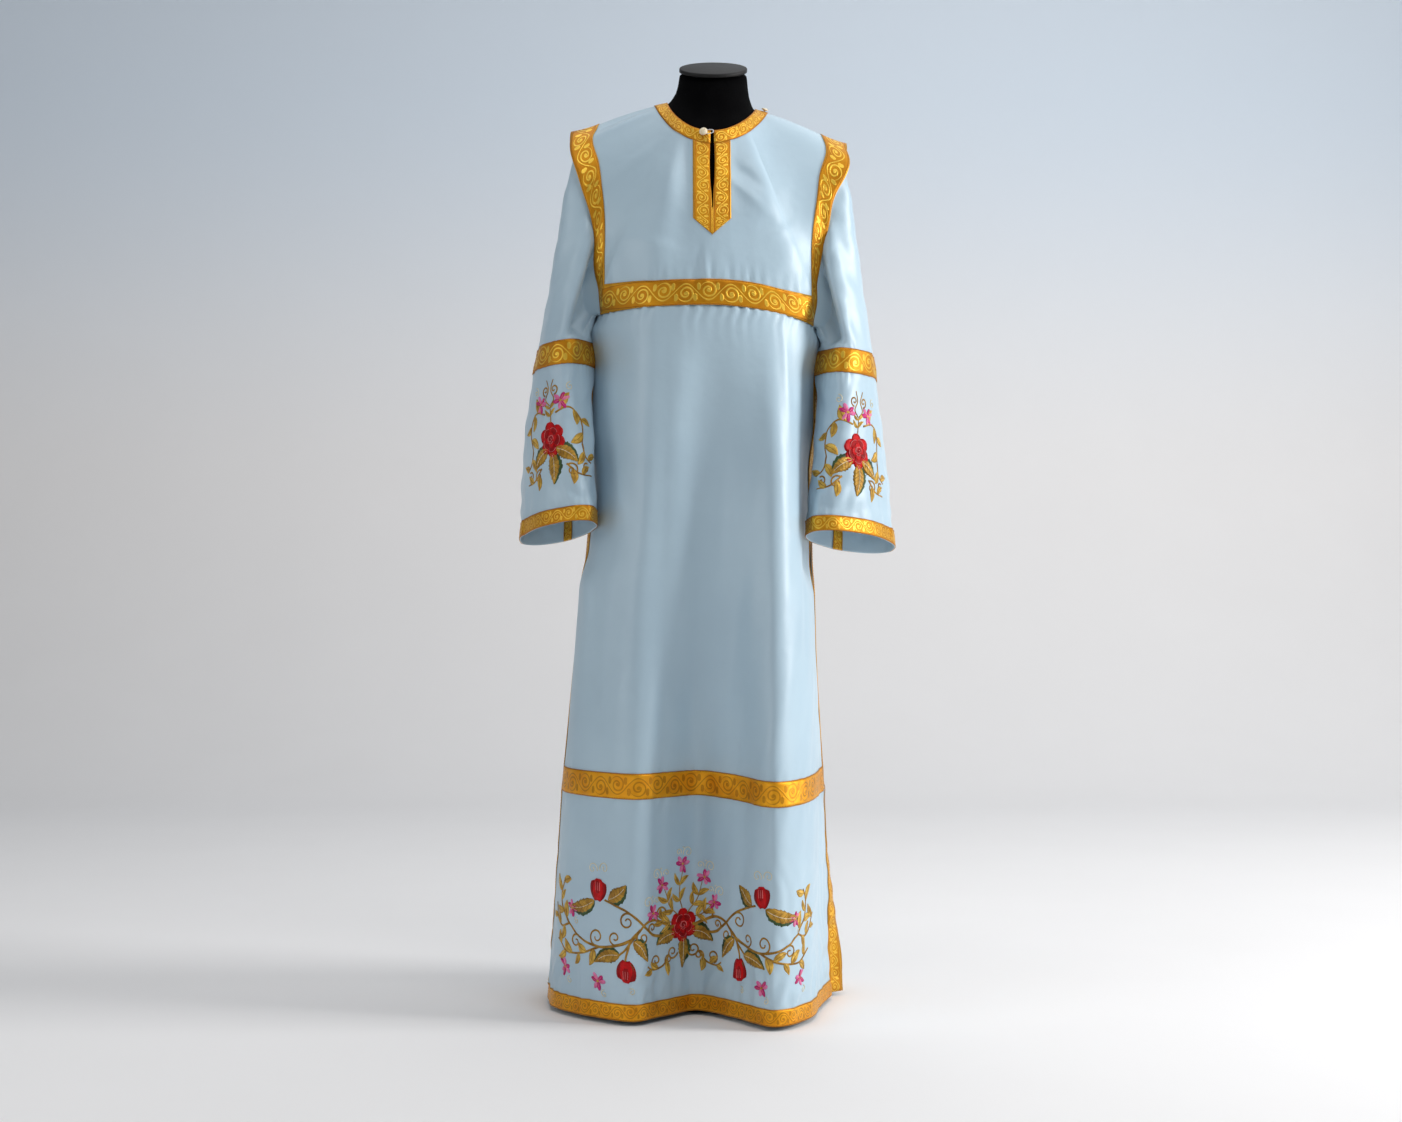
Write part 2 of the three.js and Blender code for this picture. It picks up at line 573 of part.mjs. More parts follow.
// Armhole loop from the shoulder tip down the front, under the arm and up the back.
function armholeLoop(side) {
  const outward = side === 'left' ? -1 : 1;
  const step = at(outward * SEAM, 0, 0);
  const frontEdge = frontYoke.grid[LAST_YOKE_ROW];
  const backEdge = backYoke.grid[LAST_YOKE_ROW];
  const down = range(0, ARMHOLE_STEPS);
  const front = down.map((j) => frontEdge[side === 'left' ? j : FRONT_LAST - j].clone().add(step));
  const back = down.map((j) => backEdge[side === 'left' ? BACK_LAST - j : j].clone().add(step));
  front[0].y = 0;
  const top = (panel, k) => {
    const row = panel.grid[0];
    const isFirst = (panel === frontPanel) === (side === 'left');
    return lifted(row[isFirst ? k : row.length - 1 - k]).add(step);
  };
  const underarm = [
    ...range(0, UNDERARM_STEPS - 1).reverse().map((k) => top(frontPanel, k)),
    ...range(1, UNDERARM_STEPS - 1).map((k) => top(backPanel, k)),
  ];
  return [...front, ...underarm, ...back.slice(1).reverse()];
}

// Ring angles of the loop's points: the tip at the outside, the underarm at the inside.
function loopAngles() {
  const front = range(0, ARMHOLE_STEPS).map((j) => 180 - ((180 - UNDERARM_ANGLE) * j) / ARMHOLE_STEPS);
  const under = range(1, 2 * UNDERARM_STEPS - 1).map((k) => UNDERARM_ANGLE * (1 - k / UNDERARM_STEPS));
  const back = front.slice(1).reverse().map((angle) => -angle);
  return [...front, ...under, ...back];
}

function sleeve(side) {
  const loop = armholeLoop(side);
  const angles = loopAngles();
  const rings = SLEEVE_RINGS[side].map((ring) => angles.map((angle) => sleeveRingPoint(side, ring, angle)));
  const upper = range(0, UPPER_STEPS - 1).map((k) => loop.map((point, c) => (
    point.clone().lerp(rings[0][c], k / UPPER_STEPS))));
  const grid = [...upper, ...rings];
  const center = loop.reduce((sum, point) => sum.add(point), at(0, 0, 0)).divideScalar(loop.length);
  const outwardSign = side === 'left' ? 1 : -1;
  return makePanel(`sleeve_${side}`, grid, (normal, r, c) => {
    normal.multiplyScalar(outwardSign);
    if (r === 0) {
      normal.copy(grid[0][c]).sub(center);
      normal.x = 0;
    }
  }, { loop: true });
}

for (const side of ['left', 'right']) {
  const panel = sleeve(side);
  const all = range(0, panel.grid[0].length - 1);
  const last = panel.grid.length - 1;
  const innerBack = ARMHOLE_STEPS + 2 * UNDERARM_STEPS;
  addTrim(`elbow_band_${side}`, cut(panel, [UPPER_STEPS, UPPER_STEPS + 1], all), { loop: true });
  addTrim(`cuff_band_${side}`, cut(panel, [last - 1, last], all), { loop: true });
  addTrim(`sleeve_strip_${side}`, cut(panel, range(last - 3, last), [innerBack, innerBack + 1]), { inside: true });
}

// The dress form: the shape under the yokes, then a torso down to the hips, a neck and its cap.
const FORM = {
  clear: 0.45, // at the shoulders, where it carries the cloth
  clearPerDrop: 0.03, // more for each millimetre below them
  shoulderZ: 1395,
  armholeInset: 4,
  neckInset: 2.5,
  topX: 10,
  topHalf: 53,
  topDepth: 51,
  topZ: 1451,
  tilt: 22,
  chestInset: 12,
};
const TORSO_RINGS = [
  { z: 1058, across: 1, deep: 1 },
  { z: 1005, across: 0.92, deep: 0.93 },
  { z: 950, across: 0.85, deep: 0.84 },
  { z: 880, across: 0.86, deep: 0.86 },
  { z: 800, across: 0.9, deep: 0.92 },
  { z: 705, across: 0.85, deep: 0.87 },
];
const FORM_YOKE_ROWS = [0, 1, 2, 3, 5, 7, LAST_YOKE_ROW];

function formTopZ(depth) {
  return FORM.topZ - depth * Math.tan(THREE.MathUtils.degToRad(FORM.tilt));
}

// The columns of the form: the threads of the front yoke, then those of the back yoke.
const FORM_COLUMNS = [
  ...range(0, FRONT_LAST).filter((c) => c !== SLIT_RIGHT).map((c) => ({ panel: frontYoke, c })),
  ...range(1, BACK_LAST - 1).map((c) => ({ panel: backYoke, c })),
];

function underYoke({ panel, c }, r) {
  const outer = panel.grid[r][c];
  const clear = FORM.clear + FORM.clearPerDrop * Math.max(0, FORM.shoulderZ - outer.z);
  const point = outer.clone().addScaledVector(panel.normals[r][c], -(WALL + clear));
  const count = panel.grid[0].length;
  if (r === LAST_YOKE_ROW && isArmhole(c, count)) point.x -= Math.sign(point.x) * FORM.armholeInset;
  return point;
}

function neckRing(share, z) {
  return FORM_COLUMNS.map(({ panel, c }) => {
    const start = panel.grid[0][c];
    const angle = Math.atan2((start.x - NECK.x) / NECK.halfWidth, -start.y / (start.y < 0 ? NECK.front : NECK.back));
    const top = at(FORM.topX + FORM.topHalf * Math.sin(angle), FORM.topDepth * Math.cos(angle), 0);
    top.z = formTopZ(-top.y);
    const base = start.clone();
    const inward = at(NECK.x - start.x, start.y, 0).setZ(0).normalize();
    base.addScaledVector(inward, FORM.neckInset);
    const point = base.clone().lerp(top, share);
    point.z = THREE.MathUtils.lerp(base.z, top.z, z);
    return point;
  });
}

// Ring of the torso below the yokes, scaled from the chest line.
function torsoRing({ z, across, deep }) {
  return FORM_COLUMNS.map(({ panel, c }) => {
    const isFront = panel === frontYoke;
    const folds = isFront ? FRONT_FOLDS : BACK_FOLDS;
    const count = panel.grid[0].length;
    const fromEnd = count - 1 - c;
    let point = panel.grid[LAST_YOKE_ROW][c];
    if (c < ARMHOLE_STEPS) point = panelPoint(folds, c / ARMHOLE_STEPS, CHEST_Z);
    if (fromEnd < ARMHOLE_STEPS) point = panelPoint(folds, folds.length - 1 - fromEnd / ARMHOLE_STEPS, CHEST_Z);
    const length = Math.hypot(point.x, point.y);
    const scale = 1 - FORM.chestInset / length;
    return new THREE.Vector3(point.x * scale * across, point.y * scale * deep, z);
  });
}

// Closed solid from rings of equal size, with flat ends.
function solidFromRings(rings) {
  const positions = [];
  const columns = rings[0].length;
  const push = (...points) => points.forEach((point) => positions.push(...point.toArray()));
  for (let r = 0; r + 1 < rings.length; r += 1) {
    for (let c = 0; c < columns; c += 1) {
      const n = (c + 1) % columns;
      push(rings[r][c], rings[r + 1][c], rings[r + 1][n]);
      push(rings[r][c], rings[r + 1][n], rings[r][n]);
    }
  }
  const cap = (ring, flip) => {
    const middle = ring.reduce((sum, point) => sum.add(point), at(0, 0, 0)).divideScalar(columns);
    ring.forEach((point, c) => {
      const after = ring[(c + 1) % columns];
      if (flip) push(middle, after, point);
      else push(middle, point, after);
    });
  };
  cap(rings[0], false);
  cap(rings[rings.length - 1], true);
  return outwardSolid(positions);
}

const formRings = [
  neckRing(1, 1),
  neckRing(0.96, 0.66),
  neckRing(0.7, 0.3),
  neckRing(0.12, 0.06),
  ...FORM_YOKE_ROWS.map((r) => FORM_COLUMNS.map((column) => underYoke(column, r))),
  ...TORSO_RINGS.map(torsoRing),
];
addMesh('form_torso', solidFromRings(formRings), 'form');

// Neck cap: a disc on the slanted top, its edge rounded.
const CAP = { thickness: 6, steps: 32, round: 1.5 };

function capRing(inset, height) {
  return range(0, CAP.steps - 1).map((k) => {
    const angle = (2 * Math.PI * k) / CAP.steps;
    const depth = (FORM.topDepth - inset) * Math.cos(angle);
    return at(FORM.topX + (FORM.topHalf - inset) * Math.sin(angle), depth, formTopZ(depth) + height);
  });
}

addMesh('form_neck_cap', solidFromRings([
  capRing(CAP.round, TRIM_GAP + CAP.thickness),
  capRing(CAP.round * 0.3, TRIM_GAP + CAP.thickness - CAP.round * 0.3),
  capRing(0, TRIM_GAP + CAP.thickness - CAP.round),
  capRing(0, TRIM_GAP),
]), 'form');

// Stand: a pole from the torso to an oval base plate that stays inside the hem.
const STAND = { poleRadius: 16, plateAcross: 150, plateDeep: 100, plateBack: 20, plateHeight: 12, edge: 2 };

const torsoBottom = TORSO_RINGS[TORSO_RINGS.length - 1].z;
const poleLength = torsoBottom - STAND.plateHeight - 2 * TRIM_GAP;
const pole = new THREE.CylinderGeometry(STAND.poleRadius, STAND.poleRadius, poleLength, 32);
pole.rotateX(Math.PI / 2);
pole.translate(0, 0, STAND.plateHeight + TRIM_GAP + poleLength / 2);
addMesh('form_pole', pole, 'metal');

function plateRing(inset, z) {
  return range(0, 47).map((k) => {
    const angle = (2 * Math.PI * k) / 48;
    const x = (STAND.plateAcross - inset) * Math.sin(angle);
    return at(x, (STAND.plateDeep - inset) * Math.cos(angle) - STAND.plateBack, z);
  });
}

addMesh('form_base', solidFromRings([
  plateRing(STAND.edge, STAND.plateHeight),
  plateRing(0, STAND.plateHeight - STAND.edge),
  plateRing(0, 0),
]), 'metal');

// Buttons and loop on the collar band.
const BAND_TOP = TRIM_GAP + TRIM_WALL;
const COLLAR_BUTTON = { column: SLIT_LEFT - 0.37, row: 0.3, scale: 1 };
const SHOULDER_BUTTON = { column: FRONT_LAST - 0.3, row: 0.72, scale: 0.85 };
const BUTTON_PROFILE = [
  [0, 0], [2, 0], [2, 2.2], [6, 2.2], [6.7, 2.9], [6.3, 4.3], [4.6, 5.5], [2.4, 6.1], [0, 6.3],
];
const BUTTON_LIFT = 0.55;

// Point and normal of the front yoke between its grid lines.
function onYoke({ row, column }) {
  const r = Math.min(Math.floor(row), LAST_YOKE_ROW - 1);
  const c = Math.min(Math.floor(column), FRONT_LAST - 1);
  const mix = (table) => {
    const upper = table[r][c].clone().lerp(table[r][c + 1], column - c);
    const lower = table[r + 1][c].clone().lerp(table[r + 1][c + 1], column - c);
    return upper.lerp(lower, row - r);
  };
  return { point: mix(frontYoke.grid), normal: mix(frontYoke.normals).normalize() };
}

function addButton(name, place, finish) {
  const { point, normal } = onYoke(place);
  const profile = BUTTON_PROFILE.map(([radius, height]) => new THREE.Vector2(radius, height).multiplyScalar(place.scale));
  const mesh = addMesh(name, new THREE.LatheGeometry(profile, 16), finish);
  mesh.quaternion.setFromUnitVectors(new THREE.Vector3(0, 1, 0), normal);
  mesh.position.copy(point).addScaledVector(normal, BAND_TOP + BUTTON_LIFT);
}

addButton('collar_button', COLLAR_BUTTON, 'pearl');
addButton('shoulder_button', SHOULDER_BUTTON, 'pearl');

// The loop lies round the shank of the collar button and reaches across the slit.
const LOOP = { radius: 3.5, tube: 0.7, reach: 12, height: 1.2 };
const loopPlace = onYoke(COLLAR_BUTTON);
const loopSide = new THREE.Vector3(1, 0, 0).projectOnPlane(loopPlace.normal).normalize();
const loopUp = loopPlace.normal.clone().cross(loopSide);
const loopShape = new THREE.TorusGeometry(LOOP.radius, LOOP.tube, 6, 20);
const loopPoints = loopShape.getAttribute('position');
for (let i = 0; i < loopPoints.count; i += 1) {
  const reach = LOOP.reach * smooth(loopPoints.getX(i) / (2 * LOOP.radius) + 0.5);
  loopPoints.setX(i, loopPoints.getX(i) + reach);
}
const loopMesh = addMesh('button_loop', loopShape, 'silver');
loopMesh.quaternion.setFromRotationMatrix(new THREE.Matrix4().makeBasis(loopSide, loopUp, loopPlace.normal));
loopMesh.position.copy(loopPlace.point).addScaledVector(loopPlace.normal, BAND_TOP + BUTTON_LIFT + LOOP.height);

export default garment;
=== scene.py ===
# Looks of a sticharion that hangs on a limbless dress form.
# Sizes are in millimetres, as in the part's source, and MM turns them into metres.
# x runs to the viewer's right, d towards the viewer and z up, so a point lies at (x, -d, z).
import math
from functools import partialmethod

import bmesh
import bpy
import numpy as np
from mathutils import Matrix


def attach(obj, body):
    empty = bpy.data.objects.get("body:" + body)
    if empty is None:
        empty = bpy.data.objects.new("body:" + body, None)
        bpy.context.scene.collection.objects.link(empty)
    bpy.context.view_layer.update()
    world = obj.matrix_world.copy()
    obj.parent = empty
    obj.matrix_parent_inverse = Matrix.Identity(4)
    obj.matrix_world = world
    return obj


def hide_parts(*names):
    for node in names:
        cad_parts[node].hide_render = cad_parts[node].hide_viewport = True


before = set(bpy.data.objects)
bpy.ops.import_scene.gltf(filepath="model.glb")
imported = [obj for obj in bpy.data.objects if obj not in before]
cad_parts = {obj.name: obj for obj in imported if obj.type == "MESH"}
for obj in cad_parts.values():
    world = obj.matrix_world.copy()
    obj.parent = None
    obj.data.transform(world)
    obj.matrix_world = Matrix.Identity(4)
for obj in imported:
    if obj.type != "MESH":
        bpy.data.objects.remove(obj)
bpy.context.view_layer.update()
MM = 0.001

# Driving sizes, the same as the part's.
SEAM = 0.05
COLLAR_WIDTH = 22
ARMHOLE_TRIM_WIDTH = 36
ARMHOLE_TRIM_LOW_WIDTH = 46
CHEST_BAND_WIDTH = 40
LOWER_BAND_WIDTH = 38
HEM_BAND_WIDTH = 25
SIDE_TRIM_WIDTH = 25
CHEST_Z = 1072
LOWER_BAND_Z = 372
HEM_Z = 7
SIDE_TRIM_TOP_Z = 1030
SLIT_X = 8
PLACKET_HALF = 28.5

CLOTH = 0.8  # thickness of the satin
GALLOON = 0.9  # thickness of the galloon
GALLOON_GAP = 0.35  # from the satin to the galloon
OUTWARD = {"left": -1, "right": 1}  # which way x grows away from the body


# Curves and folds

def smooth(t):
    k = np.clip(t, 0, 1)
    return k * k * (3 - 2 * k)


def bell(t):
    return np.exp(-np.square(t))


def through(values, t):
    """Value at t of the smooth curve through evenly spaced values, or of one such curve a column."""
    values = np.asarray(values, float)
    t = np.asarray(t, float)
    last = len(values) - 1
    i = np.clip(np.floor(t).astype(int), 0, last - 1)
    k = t - i
    padded = np.concatenate([[2 * values[0] - values[1]], values, [2 * values[-1] - values[-2]]])
    pick = (lambda n: padded[i + n]) if values.ndim == 1 else (lambda n: padded[i + n, np.arange(len(t))])
    before, start, end, after = pick(0), pick(1), pick(2), pick(3)
    k2 = k * k
    k3 = k2 * k
    return ((2 * k3 - 3 * k2 + 1) * start + (k3 - 2 * k2 + k) * (end - before) / 2
            + (3 * k2 - 2 * k3) * end + (k3 - k2) * (after - start) / 2)


LEVELS = [CHEST_Z, 800, 560, 353, HEM_Z]
# A row is a fold line from chest to hem: x and d at each of LEVELS, and how far a sleeve presses it in.
FRONT_FOLDS = [
    ([-168, -186, -206, -227, -251], [-4, -10, -16, -22, -30], 4),  # left edge
    ([-163, -176, -192, -206, -226], [45, 62, 74, 82, 84], 18),  # left turn
    ([-104, -108, -112, -116, -119], [112, 126, 144, 166, 178], 2),  # left crest
    ([-55, -58, -62, -64, -66], [129, 134, 136, 138, 140], 0),  # left fall
    ([-5, -8, -10, -12, -13], [134, 130, 118, 99, 97], 0),  # middle valley
    ([45, 44, 44, 45, 46], [129, 138, 142, 150, 156], 0),  # middle rise
    ([97, 102, 103, 100, 99], [113, 146, 180, 206, 216], 0),  # right crest
    ([142, 146, 149, 151, 153], [82, 106, 132, 150, 153], 6),  # right corner
    ([163, 161, 165, 173, 176], [45, 52, 54, 52, 50], 14),  # right recess
    ([169, 167, 171, 185, 209], [-4, -14, -26, -42, -60], 3),  # right edge
]
BACK_FOLDS = [
    ([169, 167, 171, 184, 203], [-4, -14, -26, -44, -76], 3),  # right edge
    ([158, 160, 166, 176, 190], [-52, -70, -92, -118, -150], 2),  # right turn
    ([100, 104, 108, 112, 116], [-102, -122, -146, -174, -204], 0),  # right crest
    ([46, 46, 46, 47, 48], [-114, -124, -132, -142, -154], 0),  # right valley
    ([-4, -5, -6, -8, -10], [-118, -134, -154, -178, -206], 0),  # middle crest
    ([-54, -58, -62, -68, -72], [-114, -124, -134, -146, -160], 0),  # left valley
    ([-104, -110, -118, -127, -136], [-102, -120, -144, -170, -196], 0),  # left crest
    ([-158, -172, -188, -202, -218], [-52, -64, -80, -98, -118], 2),  # left turn
    ([-168, -186, -206, -227, -250], [-4, -10, -16, -24, -46], 4),  # left edge
]
SLEEVE_PRESS = {"top": 1060, "full": 985, "end_left": 706, "end_right": 692, "release": 62}
CHEST_SAG = {"left": 5, "right": 24, "reach": 168, "end": 700}
TUCK = {"depth": 8, "reach": 0.2, "top": 1000, "full": 880}
CREST_SAG = {"depth": 8, "x": 105, "width": 75, "z": 353, "height": 170}


def sag(x, z):
    chest_side = np.where(x < 0, CHEST_SAG["left"], CHEST_SAG["right"])
    chest = chest_side * (x / CHEST_SAG["reach"]) ** 2
    share = smooth((z - CHEST_SAG["end"]) / (CHEST_Z - CHEST_SAG["end"]))
    c = CREST_SAG
    crest = bell((x - c["x"]) / c["width"]) * bell((z - c["z"]) / c["height"])
    return chest * share + c["depth"] * crest


def press_share(x, z):
    p = SLEEVE_PRESS
    bottom = np.where(x < 0, p["end_left"], p["end_right"])
    pressed = smooth((p["top"] - z) / (p["top"] - p["full"]))
    return pressed * smooth((z - bottom + p["release"]) / p["release"])


def panel_point(folds, u, z):
    """Points of a long panel. u counts fold lines and z is the height before the sag."""
    u, z = np.broadcast_arrays(np.asarray(u, float), np.asarray(z, float))
    shape = u.shape
    u, z = u.ravel(), z.ravel()
    level = np.interp(-z, [-v for v in LEVELS], range(len(LEVELS)))
    lines_x, lines_d, presses = zip(*folds)
    x = through(np.array([through(line, level) for line in lines_x]), u)
    d = through(np.array([through(line, level) for line in lines_d]), u)
    press = np.sign(x) * press_share(x, z) * through(presses, u)
    from_edge = np.minimum(u, len(folds) - 1 - u)
    tucked = smooth((TUCK["top"] - z) / (TUCK["top"] - TUCK["full"]))
    tuck = np.where(x < 0, TUCK["depth"] * (smooth(1 - from_edge / TUCK["reach"]) * tucked), 0)
    return np.stack([x - press + tuck, -d, z - sag(x, z)], axis=-1).reshape(*shape, 3)


def on_chest(folds, u):
    """Points of the chest line, where a yoke ends a hair above its panel."""
    return panel_point(folds, u, CHEST_Z) + [0, 0, SEAM]


def corner_count(side, folds):
    """Fold count where an armhole meets the chest line. The front's folds start on the left."""
    return 1 if (side == "left") == (folds is FRONT_FOLDS) else len(folds) - 2


# Yokes: thread lines run from the neck to the armholes and the chest line.
NECK = {"x": 7, "half_width": 68, "front": 85, "back": 74, "left_z": 1402, "right_z": 1392,
        "front_z": 1343, "back_z": 1412}
ARMHOLES = {
    "left": {"tip": (-201, 0, 1354), "lean": 58, "wave": [0, -6, 3, 4, 3, 0, 0]},
    "right": {"tip": (210, 0, 1336), "lean": 58, "wave": [0, -4, 4, 2, 1, 0, 0]},
}
ARMHOLE_STEPS = 8
BOTTOM_STEPS = 5
HALF_THREADS = ARMHOLE_STEPS + BOTTOM_STEPS
SIDE_BULGE = {"amount": 10, "place": 0.86}
SWELL = {
    "front": {"seam": 0, "armhole": 16, "corner": 44, "middle": 14, "up": 5},
    "back": {"seam": 0, "armhole": 12, "corner": 38, "middle": 26, "up": 5},
}


def neck_point(degrees):
    angle = np.radians(degrees)
    forward, across = np.cos(angle), np.sin(angle)
    depth = np.where(forward > 0, NECK["front"], NECK["back"])
    end_z = np.where(forward > 0, NECK["front_z"], NECK["back_z"])
    side_z = (NECK["left_z"] + NECK["right_z"]) / 2 + (NECK["right_z"] - NECK["left_z"]) / 2 * across
    share = np.abs(forward) ** 1.4
    x = NECK["x"] + NECK["half_width"] * across
    return np.stack([x, -depth * forward, side_z + (end_z - side_z) * share], axis=-1)


def armhole_point(side, corner, facing, a):
    hole = ARMHOLES[side]
    tip, wave = hole["tip"], hole["wave"]
    wavy = OUTWARD[side] * through(wave, a * (len(wave) - 1))
    x = tip[0] + (corner[0] - tip[0]) * smooth(a * 1.35 - 0.12) - wavy
    z = tip[2] + (corner[2] - tip[2]) * a ** 1.12
    d = abs(corner[1]) * smooth(a) + hole["lean"] * np.sin(np.pi * a ** 0.62) * (1 - 0.25 * a)
    return np.stack([x, -facing * d, z], axis=-1)


def fold_count_at(folds, x):
    """Place on the chest line, in fold counts, where it crosses x."""
    u = np.linspace(1, len(folds) - 2, 2000)
    across = panel_point(folds, u, CHEST_Z)[:, 0]
    order = np.argsort(across)
    return float(np.interp(x, across[order], u[order]))


def half_yoke(name, side, j):
    """Thread lines j of one half of a yoke: j is 0 at the shoulder seam and grows to the middle."""
    front = name == "front"
    facing = 1 if front else -1
    folds = FRONT_FOLDS if front else BACK_FOLDS
    outward = OUTWARD[side]
    placket_angle = math.degrees(math.asin(PLACKET_HALF / NECK["half_width"]))
    middle_angle = math.degrees(math.asin((SLIT_X - NECK["x"]) / NECK["half_width"]))
    angles = [90 * outward, placket_angle * outward, middle_angle]
    turn = np.interp(j, [0, HALF_THREADS, HALF_THREADS + 1], angles)
    corner_u = corner_count(side, folds)
    placket_u = fold_count_at(folds, SLIT_X + outward * PLACKET_HALF)
    bottom_counts = [corner_u, placket_u, fold_count_at(folds, SLIT_X)]
    bottom_u = np.interp(j, [ARMHOLE_STEPS, HALF_THREADS, HALF_THREADS + 1], bottom_counts)
    a = np.clip(j / ARMHOLE_STEPS, 0, 1)
    b = np.clip((j - ARMHOLE_STEPS) / BOTTOM_STEPS, 0, 1)
    on_hole = j <= ARMHOLE_STEPS
    hole_end = armhole_point(side, on_chest(folds, corner_u), facing, a)
    s = SWELL[name]
    hole_swell = through([s["seam"], s["armhole"], s["corner"]], a * 2)
    low_swell = s["corner"] + (s["middle"] - s["corner"]) * smooth(b)
    hole_width = ARMHOLE_TRIM_WIDTH + (ARMHOLE_TRIM_LOW_WIDTH - ARMHOLE_TRIM_WIDTH) * a
    low_width = ARMHOLE_TRIM_LOW_WIDTH + (CHEST_BAND_WIDTH - ARMHOLE_TRIM_LOW_WIDTH) * np.minimum(1, b * 2)
    bulge = np.where(on_hole, smooth(a * 1.3), 1 - smooth(b * 1.6))
    return {
        "start": neck_point(turn if front else 180 - turn),
        "end": np.where(on_hole[:, None], hole_end, on_chest(folds, bottom_u)),
        "swell": np.where(on_hole, hole_swell, low_swell),
        "up": np.where(on_hole, s["up"] * (1 - a), 0),
        "width": np.where(on_hole, hole_width, low_width),
        "facing": facing,
        "bulge": outward * SIDE_BULGE["amount"] * bulge,
    }


def thread_points(threads, share):
    """Points of a yoke: share has a row for each place down the threads and a column for each thread."""
    start, end = threads["start"][None], threads["end"][None]
    points = start + (end - start) * share[..., None]
    swell = 4 * share * (1 - share)
    points[..., 1] -= threads["facing"] * threads["swell"] * swell
    points[..., 2] += threads["up"] * swell
    place = SIDE_BULGE["place"]
    points[..., 0] += threads["bulge"] * (share / place) ** 3 * (1 - share) / (1 - place)
    return points


def thread_rows(threads):
    """Shares down the threads: rows over the collar band, the open cloth and the outer trim."""
    length = np.linalg.norm(threads["end"] - threads["start"], axis=-1)
    low = COLLAR_WIDTH / length
    high = 1 - threads["width"] / length
    first = np.linspace(0, 1, COLLAR_ROWS + 1)[:-1, None] * low
    second = low + (high - low) * np.linspace(0, 1, OPEN_ROWS + 1)[:-1, None]
    third = high + (1 - high) * np.linspace(0, 1, OUTER_ROWS + 1)[:, None]
    return np.concatenate([first, second, third])


# Sleeves, ring by ring from the elbow band to the cuff.
SLEEVE_COLUMNS = ["z", "outer", "inner", "middle", "depth", "lean", "rise", "roll"]
SLEEVE_RINGS = {
    "left": [
        [1020, -264, -187, 12, 76, 10, 5, 4],
        [982, -270, -184, 14, 77, 12, 6, 3],
        [938, -277, -179, 18, 79, 17, 8, 3],
        [892, -283, -174, 23, 81, 23, 10, 3],
        [845, -287, -171, 28, 83, 28, 13, 3],
        [799, -290, -169, 32, 84, 32, 15, 3],
        [755, -292, -168, 35, 85, 34, 17, 3],
        [731, -292, -168, 36, 85, 34, 18, 3],
    ],
    "right": [
        [1008, 260, 182, 12, 76, 10, 4, 2],
        [970, 264, 176, 14, 77, 12, 5, 2],
        [925, 269, 170, 18, 79, 17, 8, 1],
        [880, 275, 165, 24, 81, 23, 10, 1],
        [832, 282, 160, 31, 83, 29, 13, 1],
        [785, 287, 155, 37, 84, 33, 15, 1],
        [741, 291, 152, 41, 85, 36, 16, 1],
        [717, 293, 151, 42, 85, 36, 17, 1],
    ],
}
UNDERARM_ANGLE = 35


def sleeve_ring(side, ring, degrees):
    """Points on a sleeve. ring counts the rows of the table; both may be arrays of one shape."""
    ring, degrees = np.broadcast_arrays(np.asarray(ring, float), np.asarray(degrees, float))
    rows = np.array(SLEEVE_RINGS[side], float)
    r = {key: through(rows[:, k], ring.ravel()).reshape(ring.shape) for k, key in enumerate(SLEEVE_COLUMNS)}
    angle = np.radians(degrees)
    inwards = 1 if side == "left" else -1
    half = np.abs(r["outer"] - r["inner"]) / 2
    across = np.sqrt(half ** 2 - r["lean"] ** 2) * np.cos(angle) + r["lean"] * np.sin(angle)
    x = (r["outer"] + r["inner"]) / 2 + inwards * across
    z = r["z"] + r["rise"] * np.sin(angle) + r["roll"] * np.cos(angle)
    return np.stack([x, -(r["middle"] + r["depth"] * np.sin(angle)), z], axis=-1)


def armhole_loop(side, count):
    """Points round an armhole and the ring angle of each, from the shoulder tip down the front."""
    a = np.linspace(0, 1, count + 1)
    under = np.linspace(0, 1, count // 2 + 1)
    holes, unders = [], []
    for facing, folds in ((1, FRONT_FOLDS), (-1, BACK_FOLDS)):
        corner_u = corner_count(side, folds)
        holes.append(armhole_point(side, on_chest(folds, corner_u), facing, a))
        unders.append(on_chest(folds, 1 - under if corner_u == 1 else corner_u + under))
    down = 180 - (180 - UNDERARM_ANGLE) * a
    inner = UNDERARM_ANGLE * (1 - under)
    loop = np.concatenate([holes[0], unders[0][1:], unders[1][::-1][1:], holes[1][::-1][1:-1]])
    angles = np.concatenate([down, inner[1:], -inner[::-1][1:], -down[::-1][1:-1]])
    return loop + [OUTWARD[side] * SEAM, 0, 0], angles


# Grids, walls and trims

def grid_normals(points, loop=False):
    if loop:
        across = np.roll(points, -1, axis=1) - np.roll(points, 1, axis=1)
    else:
        across = np.gradient(points, axis=1)
    down = np.gradient(points, axis=0)
    normal = np.cross(down, across)
    return normal / np.maximum(np.linalg.norm(normal, axis=-1, keepdims=True), 1e-9)


def arc_lengths(points, axis):
    steps = np.linalg.norm(np.diff(points, axis=axis), axis=-1)
    zero = np.zeros_like(np.take(steps, [0], axis=axis))
    return np.concatenate([zero, np.cumsum(steps, axis=axis)], axis=axis)


def weave_map(points, loop=False):
    """Cloth coordinates in metres: across along the rows, down along the columns."""
    closed = np.concatenate([points, points[:, :1]], axis=1) if loop else points
    across = arc_lengths(closed, 1)
    across -= across[:, closed.shape[1] // 2][:, None]
    middle = np.median(arc_lengths(closed, 0), axis=1)[:, None]
    down = np.broadcast_to(middle, across.shape)
    return np.stack([across, -down], axis=-1) * MM


